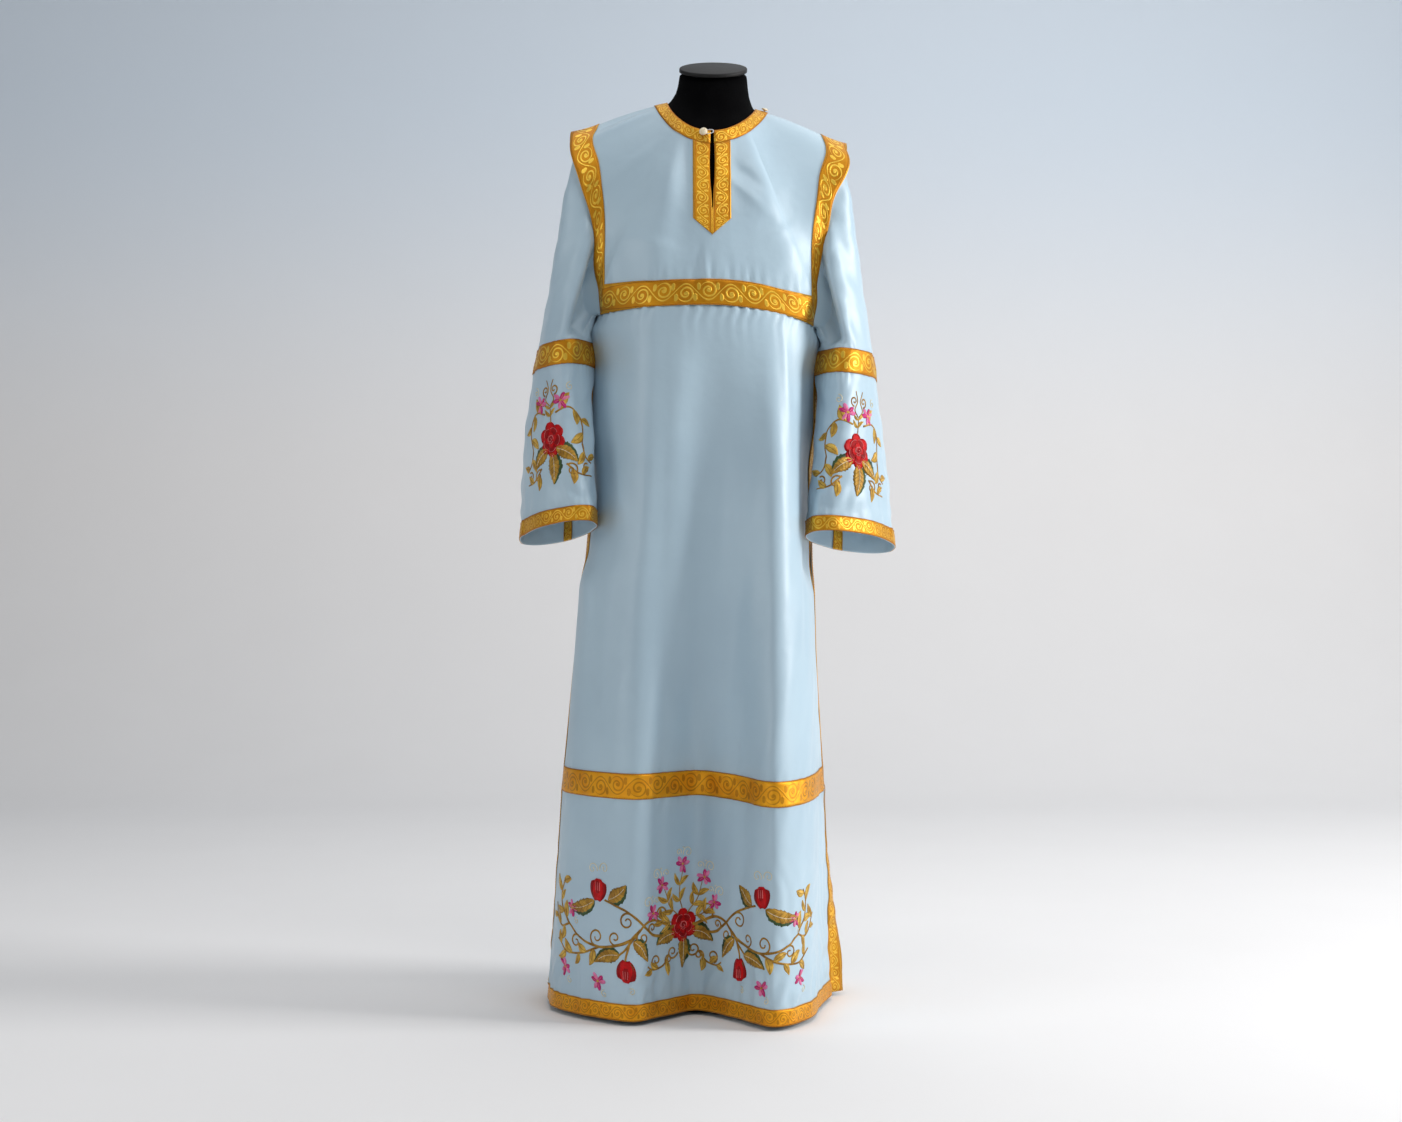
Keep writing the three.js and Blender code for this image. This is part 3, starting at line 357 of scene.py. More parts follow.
def trim_map(points, along, loop=False):
    """Galloon coordinates in metres: along the band, and across it from its middle line."""
    closed = np.concatenate([points, points[:, :1]], axis=1) if loop else points
    rows = arc_lengths(closed, 1)
    columns = arc_lengths(closed, 0)
    if along == "rows":
        length = np.broadcast_to(rows[rows.shape[0] // 2][None], rows.shape)
        across = columns - columns[-1:] / 2
    else:
        length = np.broadcast_to(columns[:, columns.shape[1] // 2][:, None], columns.shape)
        across = rows - rows[:, -1:] / 2
    return np.stack([length, across], axis=-1) * MM


def add_object(name, data):
    obj = bpy.data.objects.new(name, data)
    bpy.context.collection.objects.link(obj)
    return obj


def round_faces(mesh):
    mesh.polygons.foreach_set("use_smooth", [True] * len(mesh.polygons))


def bake_modifiers(obj):
    """Makes what the modifiers give the object's own mesh."""
    depsgraph = bpy.context.evaluated_depsgraph_get()
    made = bpy.data.meshes.new_from_object(obj.evaluated_get(depsgraph))
    obj.modifiers.clear()
    obj.data = made
    round_faces(made)


def make_mesh(name, vertices, faces, uv):
    mesh = bpy.data.meshes.new(name)
    mesh.from_pydata((np.asarray(vertices) * MM).tolist(), [], faces)
    layer = mesh.uv_layers.new(name="weave")
    layer.data.foreach_set("uv", np.asarray(uv, np.float32).ravel())
    round_faces(mesh)
    return add_object(name, mesh)


def cloth_shell(name, points, uv, thickness, normals, loop=False, keep=None, flip=False):
    """Closed shell: the points are its outer side. keep leaves cells out, and flip turns a grid
    that runs the other way round, as on the right sleeve."""
    if flip:
        points, uv, normals = points[:, ::-1], uv[:, ::-1], normals[:, ::-1]
    rows, columns = points.shape[:2]
    vertices = np.concatenate([points.reshape(-1, 3), (points - normals * thickness).reshape(-1, 3)])
    cells = columns if loop else columns - 1
    r, c = np.meshgrid(np.arange(rows - 1), np.arange(cells), indexing="ij")
    kept = np.ones(r.shape, bool) if keep is None else keep(r, c)
    index = lambda rr, cc: rr * columns + cc % columns
    inner = rows * columns
    flat_uv = uv.reshape(-1, 2)
    wide = uv.shape[1]
    faces, corners = [], []

    def add(quads, marks):
        faces.append(np.stack(quads, axis=-1))
        corners.append(np.stack([flat_uv[rr * wide + cc] for rr, cc in marks], axis=-2))

    a, b = r[kept], c[kept]
    ring = [(a, b), (a + 1, b), (a + 1, b + 1), (a, b + 1)]
    add([index(*p) for p in ring], ring)
    back = ring[::-1]
    add([index(*p) + inner for p in back], back)
    solid = np.zeros((rows + 1, cells + 2), bool)
    solid[1:rows, 1:cells + 1] = kept
    if loop:
        solid[:, 0] = solid[:, -2]
        solid[:, -1] = solid[:, 1]
    for dr, dc, first, second in ((-1, 0, (0, 1), (0, 0)), (1, 0, (1, 0), (1, 1)),
                                  (0, -1, (0, 0), (1, 0)), (0, 1, (1, 1), (0, 1))):
        open_side = kept & ~solid[r + 1 + dr, c + 1 + dc]
        if not open_side.any():
            continue
        a, b = r[open_side], c[open_side]
        p, q = (a + first[0], b + first[1]), (a + second[0], b + second[1])
        add([index(*p), index(*p) + inner, index(*q) + inner, index(*q)], [p, p, q, q])
    used = np.unique(np.concatenate([f.ravel() for f in faces]))
    lookup = np.full(len(vertices), -1)
    lookup[used] = np.arange(len(used))
    all_faces = [tuple(row) for block in faces for row in lookup[block].tolist()]
    all_corners = np.concatenate([block.reshape(-1, 2) for block in corners])
    return make_mesh(name, vertices[used], all_faces, all_corners)


# Everything made is recorded here, in one place.
PIECES = {}


def piece(obj, material, slot, *nodes):
    obj.data.materials.clear()
    obj.data.materials.append(material)
    PIECES[obj.name] = obj
    if nodes:
        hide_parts(*nodes)
    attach(obj, "root")


# Materials

class Value:
    """A shader socket. Arithmetic on it adds Math nodes."""

    def __init__(self, paint, socket):
        self.paint = paint
        self.socket = socket

    def math(self, operation, *others):
        return self.paint.node("ShaderNodeMath", {"operation": operation}, [self, *others])

    def __rsub__(self, other):
        return self.paint.node("ShaderNodeMath", {"operation": "SUBTRACT"}, [other, self])

    __add__ = __radd__ = partialmethod(math, "ADD")
    __mul__ = __rmul__ = partialmethod(math, "MULTIPLY")
    __sub__ = partialmethod(math, "SUBTRACT")
    __truediv__ = partialmethod(math, "DIVIDE")
    sine = partialmethod(math, "SINE")
    cosine = partialmethod(math, "COSINE")
    size = partialmethod(math, "ABSOLUTE")
    floor = partialmethod(math, "FLOOR")
    fraction = partialmethod(math, "FRACT")
    root = partialmethod(math, "SQRT")
    most = partialmethod(math, "MAXIMUM")

    def step(self, low, high):
        """0 at low and 1 at high, smooth between them."""
        values = {"Value": self, "From Min": low, "From Max": high, "To Min": 0.0, "To Max": 1.0}
        return self.paint.node("ShaderNodeMapRange", {"interpolation_type": "SMOOTHSTEP"}, values)


class Paint:
    """A material, with one method that adds any node."""

    def __init__(self, name):
        self.material = bpy.data.materials.new(name)
        self.material.use_nodes = True
        self.tree = self.material.node_tree
        self.place = self.node("ShaderNodeTexCoord", out="Object")

    def node(self, kind, settings=None, values=(), out=0):
        node = self.tree.nodes.new(kind)
        for key, setting in (settings or {}).items():
            setattr(node, key, setting)
        pairs = values.items() if isinstance(values, dict) else enumerate(values)
        for key, value in pairs:
            self.feed(node.inputs[key], value)
        return Value(self, node.outputs[out])

    def feed(self, socket, value):
        if isinstance(value, Value):
            self.tree.links.new(value.socket, socket)
        elif socket.type == "RGBA":
            socket.default_value = (*value, 1)
        else:
            socket.default_value = value

    def mix(self, share, first, second):
        return self.node("ShaderNodeMix", {"data_type": "RGBA"}, {0: share, 6: first, 7: second}, 2)

    def split(self, vector):
        """The three parts of a vector."""
        node = self.node("ShaderNodeSeparateXYZ", {}, [vector]).socket.node
        return [Value(self, socket) for socket in node.outputs]

    def cloth_xy(self):
        return self.split(self.node("ShaderNodeUVMap", {"uv_map": "weave"}))[:2]

    def noise(self, scale, detail=2.0):
        return self.node("ShaderNodeTexNoise", {}, {"Vector": self.place, "Scale": scale, "Detail": detail})

    def twist(self, scale, **more):
        """Slanting ridges, as of twisted yarn."""
        settings = {"wave_type": "BANDS", "bands_direction": "DIAGONAL"}
        return self.node("ShaderNodeTexWave", settings, {"Vector": self.place, "Scale": scale, **more})

    def bump(self, height, distance, strength, below=None):
        values = {"Height": height, "Distance": distance, "Strength": strength}
        if below is not None:
            values["Normal"] = below
        return self.node("ShaderNodeBump", {}, values)

    def finish(self, **values):
        shader = self.tree.nodes["Principled BSDF"]
        for key, value in values.items():
            self.feed(shader.inputs[key.replace("_", " ")], value)
        return self.material


def srgb(red, green, blue):
    """Linear colour from the usual 0 to 255 values."""
    def linear(v):
        v /= 255
        return v / 12.92 if v <= 0.04045 else ((v + 0.055) / 1.055) ** 2.4
    return (linear(red), linear(green), linear(blue))


def satin_material():
    paint = Paint("satin")
    across, down = paint.cloth_xy()
    color = paint.mix(paint.noise(5.0, 3.0).step(0.3, 0.7), srgb(175, 199, 214), srgb(183, 207, 221))
    warp = (across * (2 * math.pi / 0.0009)).sine()
    floats = ((across + down * 0.5) * (2 * math.pi / 0.0021)).sine()
    fine = paint.bump(warp * 0.6 + floats * 0.4, 0.00003, 0.5)
    crimp = paint.bump(paint.noise(52.0), 0.0007, 0.5, fine)
    soft = paint.bump(paint.noise(19.0), 0.0026, 0.55, crimp)
    return paint.finish(Base_Color=color, Roughness=paint.noise(60.0) * 0.10 + 0.35, Normal=soft,
                        Sheen_Weight=0.2, Sheen_Roughness=0.35, Specular_IOR_Level=0.55)


def galloon_material(name, period, half, scroll, grounds, figure):
    """Gold galloon: a wavy stem with a spiral in each bend, woven in relief on a dense ground."""
    paint = Paint(name)
    along, across = paint.cloth_xy()
    cell = along / period
    count = cell.floor()
    x = (cell - count - 0.5) * period
    flip = 1 - 2 * (count * 0.5).fraction() * 2
    y = across * flip
    stem_line = (y + (x * (math.pi / period)).cosine() * (0.62 * half)).size()
    stem = 1 - stem_line.step(0.0006, 0.0015)
    dy = y - 0.12 * half
    radius = (x * x + dy * dy).root()
    angle = dy.math("ARCTAN2", x)
    turn = (radius / (0.36 * half) - angle / (2 * math.pi)).fraction()
    spiral = (1 - (turn - 0.5).size().step(0.10, 0.24)) * (1 - radius.step(0.62 * half, 0.68 * half))
    heart = 1 - radius.step(0.10 * half, 0.17 * half)
    leaf_x = (x.size() - 0.42 * period) / (0.10 * period)
    leaf_y = (y - 0.42 * half) / (0.30 * half)
    leaf = 1 - (leaf_x * leaf_x + leaf_y * leaf_y).step(0.7, 1.1)
    raised = stem.most(spiral).most(heart).most(leaf) * scroll
    rib = ((along * 0.8 + across) * (2 * math.pi / 0.0013)).sine()
    edge = across.size()
    brown = edge.step(half - BROWN_EDGE - 0.0006, half - BROWN_EDGE)
    cord = edge.step(half - 0.0007, half - 0.0002)
    color = paint.mix(raised, paint.mix(paint.noise(35.0, 3.0).step(0.3, 0.7), *grounds), figure)
    color = paint.mix(brown * 0.8, color, srgb(160, 84, 6))
    color = paint.mix(cord * 0.7, color, srgb(226, 170, 40))
    height = paint.bump(raised + rib * 0.10 + cord * 0.6, 0.0006, 0.8)
    return paint.finish(Base_Color=color, Roughness=0.44 - raised * 0.12, Metallic=0.62 + raised * 0.1,
                        Normal=height)


def jersey_material():
    paint = Paint("form_jersey")
    knit = paint.twist(260.0, Distortion=1.5, Detail=1.0)
    color = paint.mix(paint.noise(40.0, 3.0).step(0.35, 0.75), srgb(1, 1, 2), srgb(4, 4, 5))
    return paint.finish(Base_Color=color, Roughness=0.9 - knit * 0.1, Normal=paint.bump(knit, 0.0002, 0.4),
                        Specular_IOR_Level=0.05)


def grained_material(name, scale, detail, colors, roughness, distance, strength, **finish):
    """Smooth hard surface whose fine grain varies its colour, roughness and height."""
    paint = Paint(name)
    grain = paint.noise(scale, detail)
    color = paint.mix(grain.step(0.3, 0.7), *colors)
    return paint.finish(Base_Color=color, Roughness=grain * 0.1 + roughness,
                        Normal=paint.bump(grain, distance, strength), **finish)


def cord_material():
    paint = Paint("loop_cord")
    twist = paint.twist(900.0)
    # The ridges of the twist are painted lighter and its grooves darker: painted highlight and shade.
    color = paint.mix(twist, srgb(200, 202, 208), srgb(240, 240, 244))
    bump = paint.bump(twist, 0.0002, 0.6)
    return paint.finish(Base_Color=color, Roughness=0.45 - twist * 0.1, Normal=bump)


SATIN = satin_material()
BROWN_EDGE = 0.0012  # from the galloon's edge to its brown line
GOLD_GROUND = (srgb(200, 128, 6), srgb(216, 148, 12))
GOLD_FIGURE = srgb(248, 204, 74)
AMBER_GROUND = (srgb(228, 152, 16), srgb(242, 172, 28))
BROWN_FIGURE = srgb(136, 80, 8)
WIDE_GALLOON = galloon_material("galloon_wide", 0.034, 0.0195, 1.0, GOLD_GROUND, GOLD_FIGURE)
NARROW_GALLOON = galloon_material("galloon_narrow", 0.021, 0.0125, 0.75, GOLD_GROUND, GOLD_FIGURE)
WIDE_AMBER = galloon_material("galloon_wide_amber", 0.034, 0.0195, 0.5, AMBER_GROUND, BROWN_FIGURE)
NARROW_AMBER = galloon_material("galloon_narrow_amber", 0.021, 0.0125, 0.5, AMBER_GROUND, BROWN_FIGURE)
JERSEY = jersey_material()
CAP = grained_material("neck_cap", 120.0, 3.0, (srgb(12, 11, 12), srgb(19, 18, 19)), 0.55, 0.0002, 0.3,
                       Specular_IOR_Level=0.35)
STAND = grained_material("stand_metal", 300.0, 2.0, (srgb(24, 24, 26), srgb(34, 34, 36)), 0.4, 0.0001, 0.4)
PEARL = grained_material("pearl", 220.0, 4.0, (srgb(228, 206, 160), srgb(246, 236, 212)), 0.16, 0.0001, 0.2,
                         Coat_Weight=0.6, Coat_Roughness=0.1)
CORD = cord_material()


# Camera and stage

CAMERA_PLACE = (-0.009, -3.4, 0.688)
CAMERA_LENS = 55.95


def make_camera():
    camera = bpy.data.cameras.new("camera")
    camera.lens = CAMERA_LENS
    camera.sensor_width = 36
    obj = add_object("camera", camera)
    obj.location = CAMERA_PLACE
    obj.rotation_euler = (math.radians(90), 0, 0)
    bpy.context.scene.camera = obj


def stage_material():
    paint = Paint("stage")
    height = paint.split(paint.place)[2]
    pale = paint.mix(paint.noise(3.0), srgb(240, 239, 239), srgb(243, 242, 242))
    # Higher up the backdrop is painted darker and bluer: painted shade of the light falling off towards its
    # top.
    color = paint.mix(height.step(0.9, 2.4), pale, srgb(218, 229, 240))
    return paint.finish(Base_Color=color, Roughness=0.85, Specular_IOR_Level=0.1)


def make_stage():
    """Floor that curves up into a backdrop."""
    front, back, bend, top, half, steps = -7.0, 4.2, 1.5, 6.5, 9.0, 16
    profile = [(front, 0.0), (back - bend, 0.0)]
    for k in range(1, steps + 1):
        angle = k / steps * math.pi / 2
        profile.append((back - bend + bend * math.sin(angle), bend - bend * math.cos(angle)))
    profile.append((back, top))
    vertices = [(x, y, z) for y, z in profile for x in (-half, half)]
    faces = [(2 * k, 2 * k + 1, 2 * k + 3, 2 * k + 2) for k in range(len(profile) - 1)]
    mesh = bpy.data.meshes.new("stage")
    mesh.from_pydata(vertices, [], faces)
    round_faces(mesh)
    mesh.materials.append(stage_material())
    add_object("stage", mesh)


# Each light: place, target, size, power and colour, in metres and watts.
LIGHTS = {
    "key": ((3.8, -0.62, 1.9), (0.0, 0.0, 0.75), (1.2, 1.8), 132, (1.0, 0.99, 0.98)),
    "high": ((0.8, -1.7, 3.4), (0.0, 0.0, 1.2), (1.6, 1.2), 19, (1.0, 1.0, 1.0)),
    "fill": ((-3.3, -1.9, 1.8), (0.0, 0.0, 0.75), (2.0, 2.0), 26, (1.0, 1.0, 1.0)),
    "top": ((0.5, 0.9, 3.6), (0.3, 1.2, 0.0), (4.0, 3.0), 47, (1.0, 1.0, 1.0)),
    "wall": ((3.0, 1.4, 2.4), (3.2, 4.2, 1.2), (2.4, 2.0), 9, (0.98, 0.99, 1.0)),
}


def make_light(name, place, target, size, power, color):
    light = bpy.data.lights.new(name, "AREA")
    light.shape = "RECTANGLE"
    light.size, light.size_y = size
    light.energy = power
    light.color = color
    obj = add_object(name, light)
    obj.location = place
    direction = np.subtract(target, place)
    yaw = math.atan2(direction[0], -direction[1])
    pitch = math.atan2(math.hypot(direction[0], direction[1]), -direction[2])
    obj.rotation_euler = (pitch, 0, yaw + math.pi)


def make_lights():
    for name, light in LIGHTS.items():
        make_light(name, *light)
    world = bpy.data.worlds.new("world")
    world.use_nodes = True
    background = world.node_tree.nodes["Background"]
    background.inputs[0].default_value = (0.88, 0.90, 0.93, 1)
    background.inputs[1].default_value = 0.22
    bpy.context.scene.world = world
    bpy.context.scene.view_settings.view_transform = "Standard"


make_camera()
make_stage()
make_lights()


# Long panels

def waves(t, *terms):
    """Sum of sines, each given as (height, length, start)."""
    return sum(height * np.sin(2 * np.pi * (t / length + start)) for height, length, start in terms)


def puckers(across, distance, reach, height, length, start):
    """Small gathers that a row of stitches draws in, fading over reach."""
    uneven = 1 + 0.5 * np.sin(2 * np.pi * (across / (length * 4.3) + start)) + 0.3 * np.sin(across / 37.0)
    lines = np.sin(2 * np.pi * (across / length + 0.6 * np.sin(across / 61.0) + start))
    return height * uneven * lines * np.exp(-np.clip(distance, 0, None) / reach) * (distance >= 0)


def pulls(across, down):
    """Short uneven drags at several angles, such as stitching leaves in satin."""
    bent = down + 9 * np.sin(across / 31.0) + 5 * np.sin(across / 13.0 + down / 27.0)
    first = np.sin((across * 0.9 + bent * 0.5) / 4.6 + 1.7 * np.sin(down / 19.0))
    second = np.sin((across * 0.7 - bent * 0.8) / 6.1 + 1.3 * np.sin(across / 23.0))
    patch = 0.5 + 0.5 * np.sin(across / 27.0 + 1.1 * np.sin(down / 33.0))
    return first * patch + second * (1 - patch)


def dent(x, z, place, size, depth, tilt):
    """Soft hollow or ridge at place, turned by tilt degrees."""
    angle = math.radians(tilt)
    dx, dz = x - place[0], z - place[1]
    first = dx * math.cos(angle) + dz * math.sin(angle)
    second = -dx * math.sin(angle) + dz * math.cos(angle)
    return depth * bell(first / size[0]) * bell(second / size[1])


# Creases: place (x, z), size, height, tilt in degrees.
FRONT_CREASES = [
    ((-150, 850), (9, 60), -3.0, 6),
    ((-132, 790), (8, 46), 2.2, 10),
    ((-128, 735), (11, 3), -0.9, 24),
    ((124, 735), (12, 3), -1.0, -20),
    ((-112, 492), (5, 8), -0.9, 20),
    ((118, 960), (7, 90), 2.6, 2),
    ((146, 700), (5, 170), -2.4, 1),
    ((8, 790), (36, 200), -11.0, 0),
    ((108, 800), (24, 210), 8.0, 1),
    ((-60, 980), (60, 26), 1.6, -12),
    ((38, 470), (27, 230), -7.5, 2),
    ((-128, 520), (25, 170), 3.2, -3),
    ((-84, 420), (20, 150), 2.4, 3),
    ((-30, 640), (20, 140), 1.5, 3),
    ((-185, 640), (7, 90), 2.0, 4),
    ((-170, 470), (10, 90), -2.0, 7),
    ((-86, 250), (9, 70), 1.6, 2),
    ((20, 240), (9, 70), -1.8, -3),
    ((70, 150), (8, 80), 1.4, 4),
]
BACK_CREASES = [
    ((-120, 860), (12, 90), -2.6, 5),
    ((90, 820), (12, 120), 2.4, -4),
    ((-20, 900), (50, 20), 1.6, 10),
    ((40, 560), (9, 130), -2.0, 3),
    ((-150, 500), (9, 110), 2.0, 6),
    ((150, 620), (7, 120), -2.0, -3),
    ((-60, 240), (9, 80), 1.6, -3),
    ((100, 200), (9, 80), -1.6, 2),
]


# Drags of a long panel above the hem, by the flowers and under the lower band: height, middle, reach.
PANEL_DRAGS = [(1.9, 60, 34), (0.9, 165, 76), (0.7, 330, 28)]
# Gathers along its stitched lines: reach, height and length in mm, and the share where a wave starts.
PANEL_GATHERS = {
    "under the chest band": (17, 1.1, 17.5, 0.2),
    "over the lower band": (11, 0.75, 17, 0.5),
    "under the lower band": (12, 0.8, 18, 0.8),
    "over the hem band": (20, 1.7, 22, 0.1),
}


def panel_relief(points, normals, creases, seed):
    x, z = points[..., 0], points[..., 2]
    across = arc_lengths(points, 1)
    lift = waves(across + 0.06 * z, (0.5, 83, 0.1 + seed), (0.35, 47, 0.4 + seed))
    lift = lift * smooth((CHEST_Z - z) / 300)
    lift = lift + waves(z, (0.35, 210, seed), (0.2, 97, 0.3)) * np.sin(across / 90)
    for crease in creases:
        lift = lift + dent(x, z, *crease)
    drag_share = sum(height * bell((z - middle) / reach) for height, middle, reach in PANEL_DRAGS)
    lift = lift + pulls(across, z) * drag_share
    drop = sag(x, z)
    distances = {
        "under the chest band": CHEST_Z - z - drop,
        "over the lower band": z + drop - LOWER_BAND_Z,
        "under the lower band": LOWER_BAND_Z - LOWER_BAND_WIDTH - z - drop,
        "over the hem band": z + drop - HEM_Z - HEM_BAND_WIDTH,
    }
    for line, (reach, height, length, start) in PANEL_GATHERS.items():
        lift = lift + puckers(across, distances[line], reach, height, length, start + seed)
    return lift[..., None] * normals


PANEL_SECTIONS = [
    (CHEST_Z, SIDE_TRIM_TOP_Z, 12), (SIDE_TRIM_TOP_Z, LOWER_BAND_Z, 116),
    (LOWER_BAND_Z, LOWER_BAND_Z - LOWER_BAND_WIDTH, 8),
    (LOWER_BAND_Z - LOWER_BAND_WIDTH, HEM_Z + HEM_BAND_WIDTH, 60), (HEM_Z + HEM_BAND_WIDTH, HEM_Z, 6),
]
EDGE_CELLS = 4
FOLD_CELLS = 15


def panel_heights():
    heights = [np.linspace(high, low, count + 1)[:-1] for high, low, count in PANEL_SECTIONS]
    return np.concatenate([*heights, [HEM_Z]])


def panel_columns(folds, z):
    """Fold counts of the columns at each height, with the side trims at their true width."""
    last = len(folds) - 1

    def edge_share(edge, inner):
        step = panel_point(folds, np.full_like(z, edge), z) - panel_point(folds, np.full_like(z, inner), z)
        return (SIDE_TRIM_WIDTH / np.linalg.norm(step, axis=-1))[:, None]

    first, final = edge_share(0, 1), edge_share(last, last - 1)
    start = np.linspace(0, 1, EDGE_CELLS + 1)[None, :-1] * first
    second = first + (1 - first) * np.linspace(0, 1, FOLD_CELLS)[None, :-1]
    inside = np.linspace(1, last - 1, FOLD_CELLS * (last - 2) + 1)
    inside = np.broadcast_to(inside, (len(z), len(inside)))
    third = last - 1 + (1 - final) * np.linspace(0, 1, FOLD_CELLS)[None, 1:]
    end = last - final + final * np.linspace(0, 1, EDGE_CELLS + 1)[None, 1:]
    return np.concatenate([start, second, inside, third, end], axis=1)


def between(z, low, rise, high, fall):
    """1 between two heights, with soft ends."""
    return smooth((z - low) / rise) * smooth((high - z) / fall)


# Where the front panel's edges leave its fold lines: the move, its reach in fold counts, and its heights.
LEFT_HIP = {"move": -13, "reach": 1.3, "span": (800, 110, CHEST_Z, 24)}
RIGHT_HIP = {"move": 9, "reach": 1.3, "span": (830, 90, CHEST_Z, 24)}
RIGHT_SKIRT = {"move": -5, "reach": 0.35, "span": (150, 120, 760, 100)}
HEM_FLARE = {"edge": 7, "edge_reach": 16, "beside": 12, "beside_reach": 13, "top": 188, "height": 130}


def bend_edges(points, u, z, last):
    """Moves the side edges of the front panel as they hang in the photo."""
    near_edge = smooth((u - last + RIGHT_SKIRT["reach"]) / RIGHT_SKIRT["reach"])
    for move, share in (
            (RIGHT_SKIRT, near_edge),
            (LEFT_HIP, bell(u / LEFT_HIP["reach"])),
            (RIGHT_HIP, bell((last - u) / RIGHT_HIP["reach"]))):
        points[..., 0] += move["move"] * share * between(z, *move["span"])[:, None]
    flare = smooth((HEM_FLARE["top"] - z) / HEM_FLARE["height"])[:, None]
    across = arc_lengths(points, 1)
    from_edge = across[:, -1:] - across
    edge = HEM_FLARE["edge"] * bell(from_edge / HEM_FLARE["edge_reach"])
    beside = HEM_FLARE["beside"] * bell((from_edge - SIDE_TRIM_WIDTH) / HEM_FLARE["beside_reach"])
    points[..., 0] += (edge - beside) * flare


def long_panel(side, folds, creases, seed):
    z = panel_heights()
    u = panel_columns(folds, z)
    points = panel_point(folds, u, z[:, None])
    if side == "front":
        bend_edges(points, u, z, len(folds) - 1)
    points = points + panel_relief(points, grid_normals(points), creases, seed)
    obj = cloth_shell(f"cloth_{side}_panel", points, weave_map(points), CLOTH, grid_normals(points))
    piece(obj, SATIN, "satin", f"{side}_panel")
    return points


def row_at(z):
    return int(np.argmin(np.abs(panel_heights() - z)))


SEAM_INSET = 1.7
SEAM_PATHS = []


def add_seams(top, along, loop=False):
    """Two lines of machine stitches, just inside the long edges of a galloon."""
    if along == "rows":
        edges = ((top[0], top[1]), (top[-1], top[-2]))
    else:
        edges = ((top[:, 0], top[:, 1]), (top[:, -1], top[:, -2]))
    for edge, inner in edges:
        step = inner - edge
        length = np.maximum(np.linalg.norm(step, axis=1, keepdims=True), SEAM_INSET)
        path = edge + step * SEAM_INSET / length
        SEAM_PATHS.append(np.concatenate([path, path[:1]]) if loop else path)


def band(name, node, points, normals, along, material, loop=False, flip=False, proud=GALLOON_GAP):
    """Galloon that lies on part of a cloth's grid."""
    top = points + normals * (proud + GALLOON)
    add_seams(top, along, loop)
    obj = cloth_shell(name, top, trim_map(points, along, loop), GALLOON, normals, loop, flip=flip)
    piece(obj, material, "galloon", node)


front = long_panel("front", FRONT_FOLDS, FRONT_CREASES, 0.0)
back = long_panel("back", BACK_FOLDS, BACK_CREASES, 0.37)

for side, points in (("front", front), ("back", back)):
    normals = grid_normals(points)
    patch = lambda rows, columns: (points[rows, columns], normals[rows, columns])
    lower = slice(row_at(LOWER_BAND_Z), row_at(LOWER_BAND_Z - LOWER_BAND_WIDTH) + 1)
    hem = slice(row_at(HEM_Z + HEM_BAND_WIDTH), len(points))
    inside = slice(EDGE_CELLS, points.shape[1] - EDGE_CELLS)
    long_rows = slice(row_at(SIDE_TRIM_TOP_Z), len(points))
    band(f"band_lower_{side}", f"lower_band_{side}", *patch(lower, inside), "rows", WIDE_AMBER)
    band(f"band_hem_{side}", f"hem_band_{side}", *patch(hem, inside), "rows", NARROW_AMBER)
    starts, ends = slice(0, EDGE_CELLS + 1), slice(points.shape[1] - EDGE_CELLS - 1, None)
    order = ("left", "right") if side == "front" else ("right", "left")
    for end, columns in zip(order, (starts, ends)):
        node = f"side_trim_{side}_{end}"
        band(f"band_{node}", node, *patch(long_rows, columns), "columns", NARROW_GALLOON)


# Yokes

COLLAR_ROWS, OPEN_ROWS, OUTER_ROWS = 6, 56, 8
HALF_COLUMNS = {"armhole": 56, "bottom": 34, "placket": 7}
SLIT_WIDTHS = [2.4, 3.2, 4.0, 3.4, 1.6, 0.6]
SLIT_END_SHARE = 0.49  # of the open cloth between the collar and the chest band
PLACKET_SHOULDER_SHARE = 0.57
PLACKET_TIP_SHARE = 0.67
PLACKET_BAND_MIDDLE = 14.5  # from the slit to the middle line of the band on each side
PLACKET_TIP_CLOSING = 0.995  # share of the way that the tip's points run together


def yoke_half_points(name, side):
    c = HALF_COLUMNS
    j = np.concatenate([
        np.linspace(0, ARMHOLE_STEPS, c["armhole"] + 1)[:-1],
        np.linspace(ARMHOLE_STEPS, HALF_THREADS, c["bottom"] + 1)[:-1],
        np.linspace(HALF_THREADS, HALF_THREADS + 1, c["placket"] + 1),
    ])
    threads = half_yoke(name, side, j)
    return thread_points(threads, thread_rows(threads))


def slit_half_width(rows):
    """Half the gap of the slit at each row, down to its end."""
    open_share = np.clip((np.arange(rows) - COLLAR_ROWS) / OPEN_ROWS, -0.2, 1)
    place = np.clip(open_share / SLIT_END_SHARE, -0.2, 1)
    return np.interp(place, np.linspace(-0.2, 1, len(SLIT_WIDTHS)), SLIT_WIDTHS)


YOKE_CREASES = {
    "front": [
        ((-126, 1364), (58, 7), 3.6, 27),
        ((-130, 1380), (54, 8), -3.6, 27),
        ((-112, 1300), (46, 9), 1.8, 38),
        ((-16, 1118), (6, 34), -2.2, -9),
        ((-2, 1124), (5, 32), 1.8, 4),
        ((58, 1245), (46, 8), 2.0, -42),
        ((66, 1268), (44, 9), -2.0, -36),
        ((98, 1180), (34, 8), 1.6, 24),
        ((-96, 1170), (40, 9), 1.5, -16),
    ],
    "back": [
        ((-104, 1290), (48, 10), 1.8, 34),
        ((92, 1250), (46, 10), -1.8, -30),
        ((30, 1160), (40, 9), 1.4, 12),
    ],
}


# Drags of the yokes at an angle: height, weights of x and z, length, and middle and reach in x and z.
YOKE_DRAGS = [
    (2.2, 1, 1.25, 34.0, (-95, 60), (1205, 85)),
    (2.0, 1.1, -1.2, 29.0, (105, 55), (1190, 85)),
]


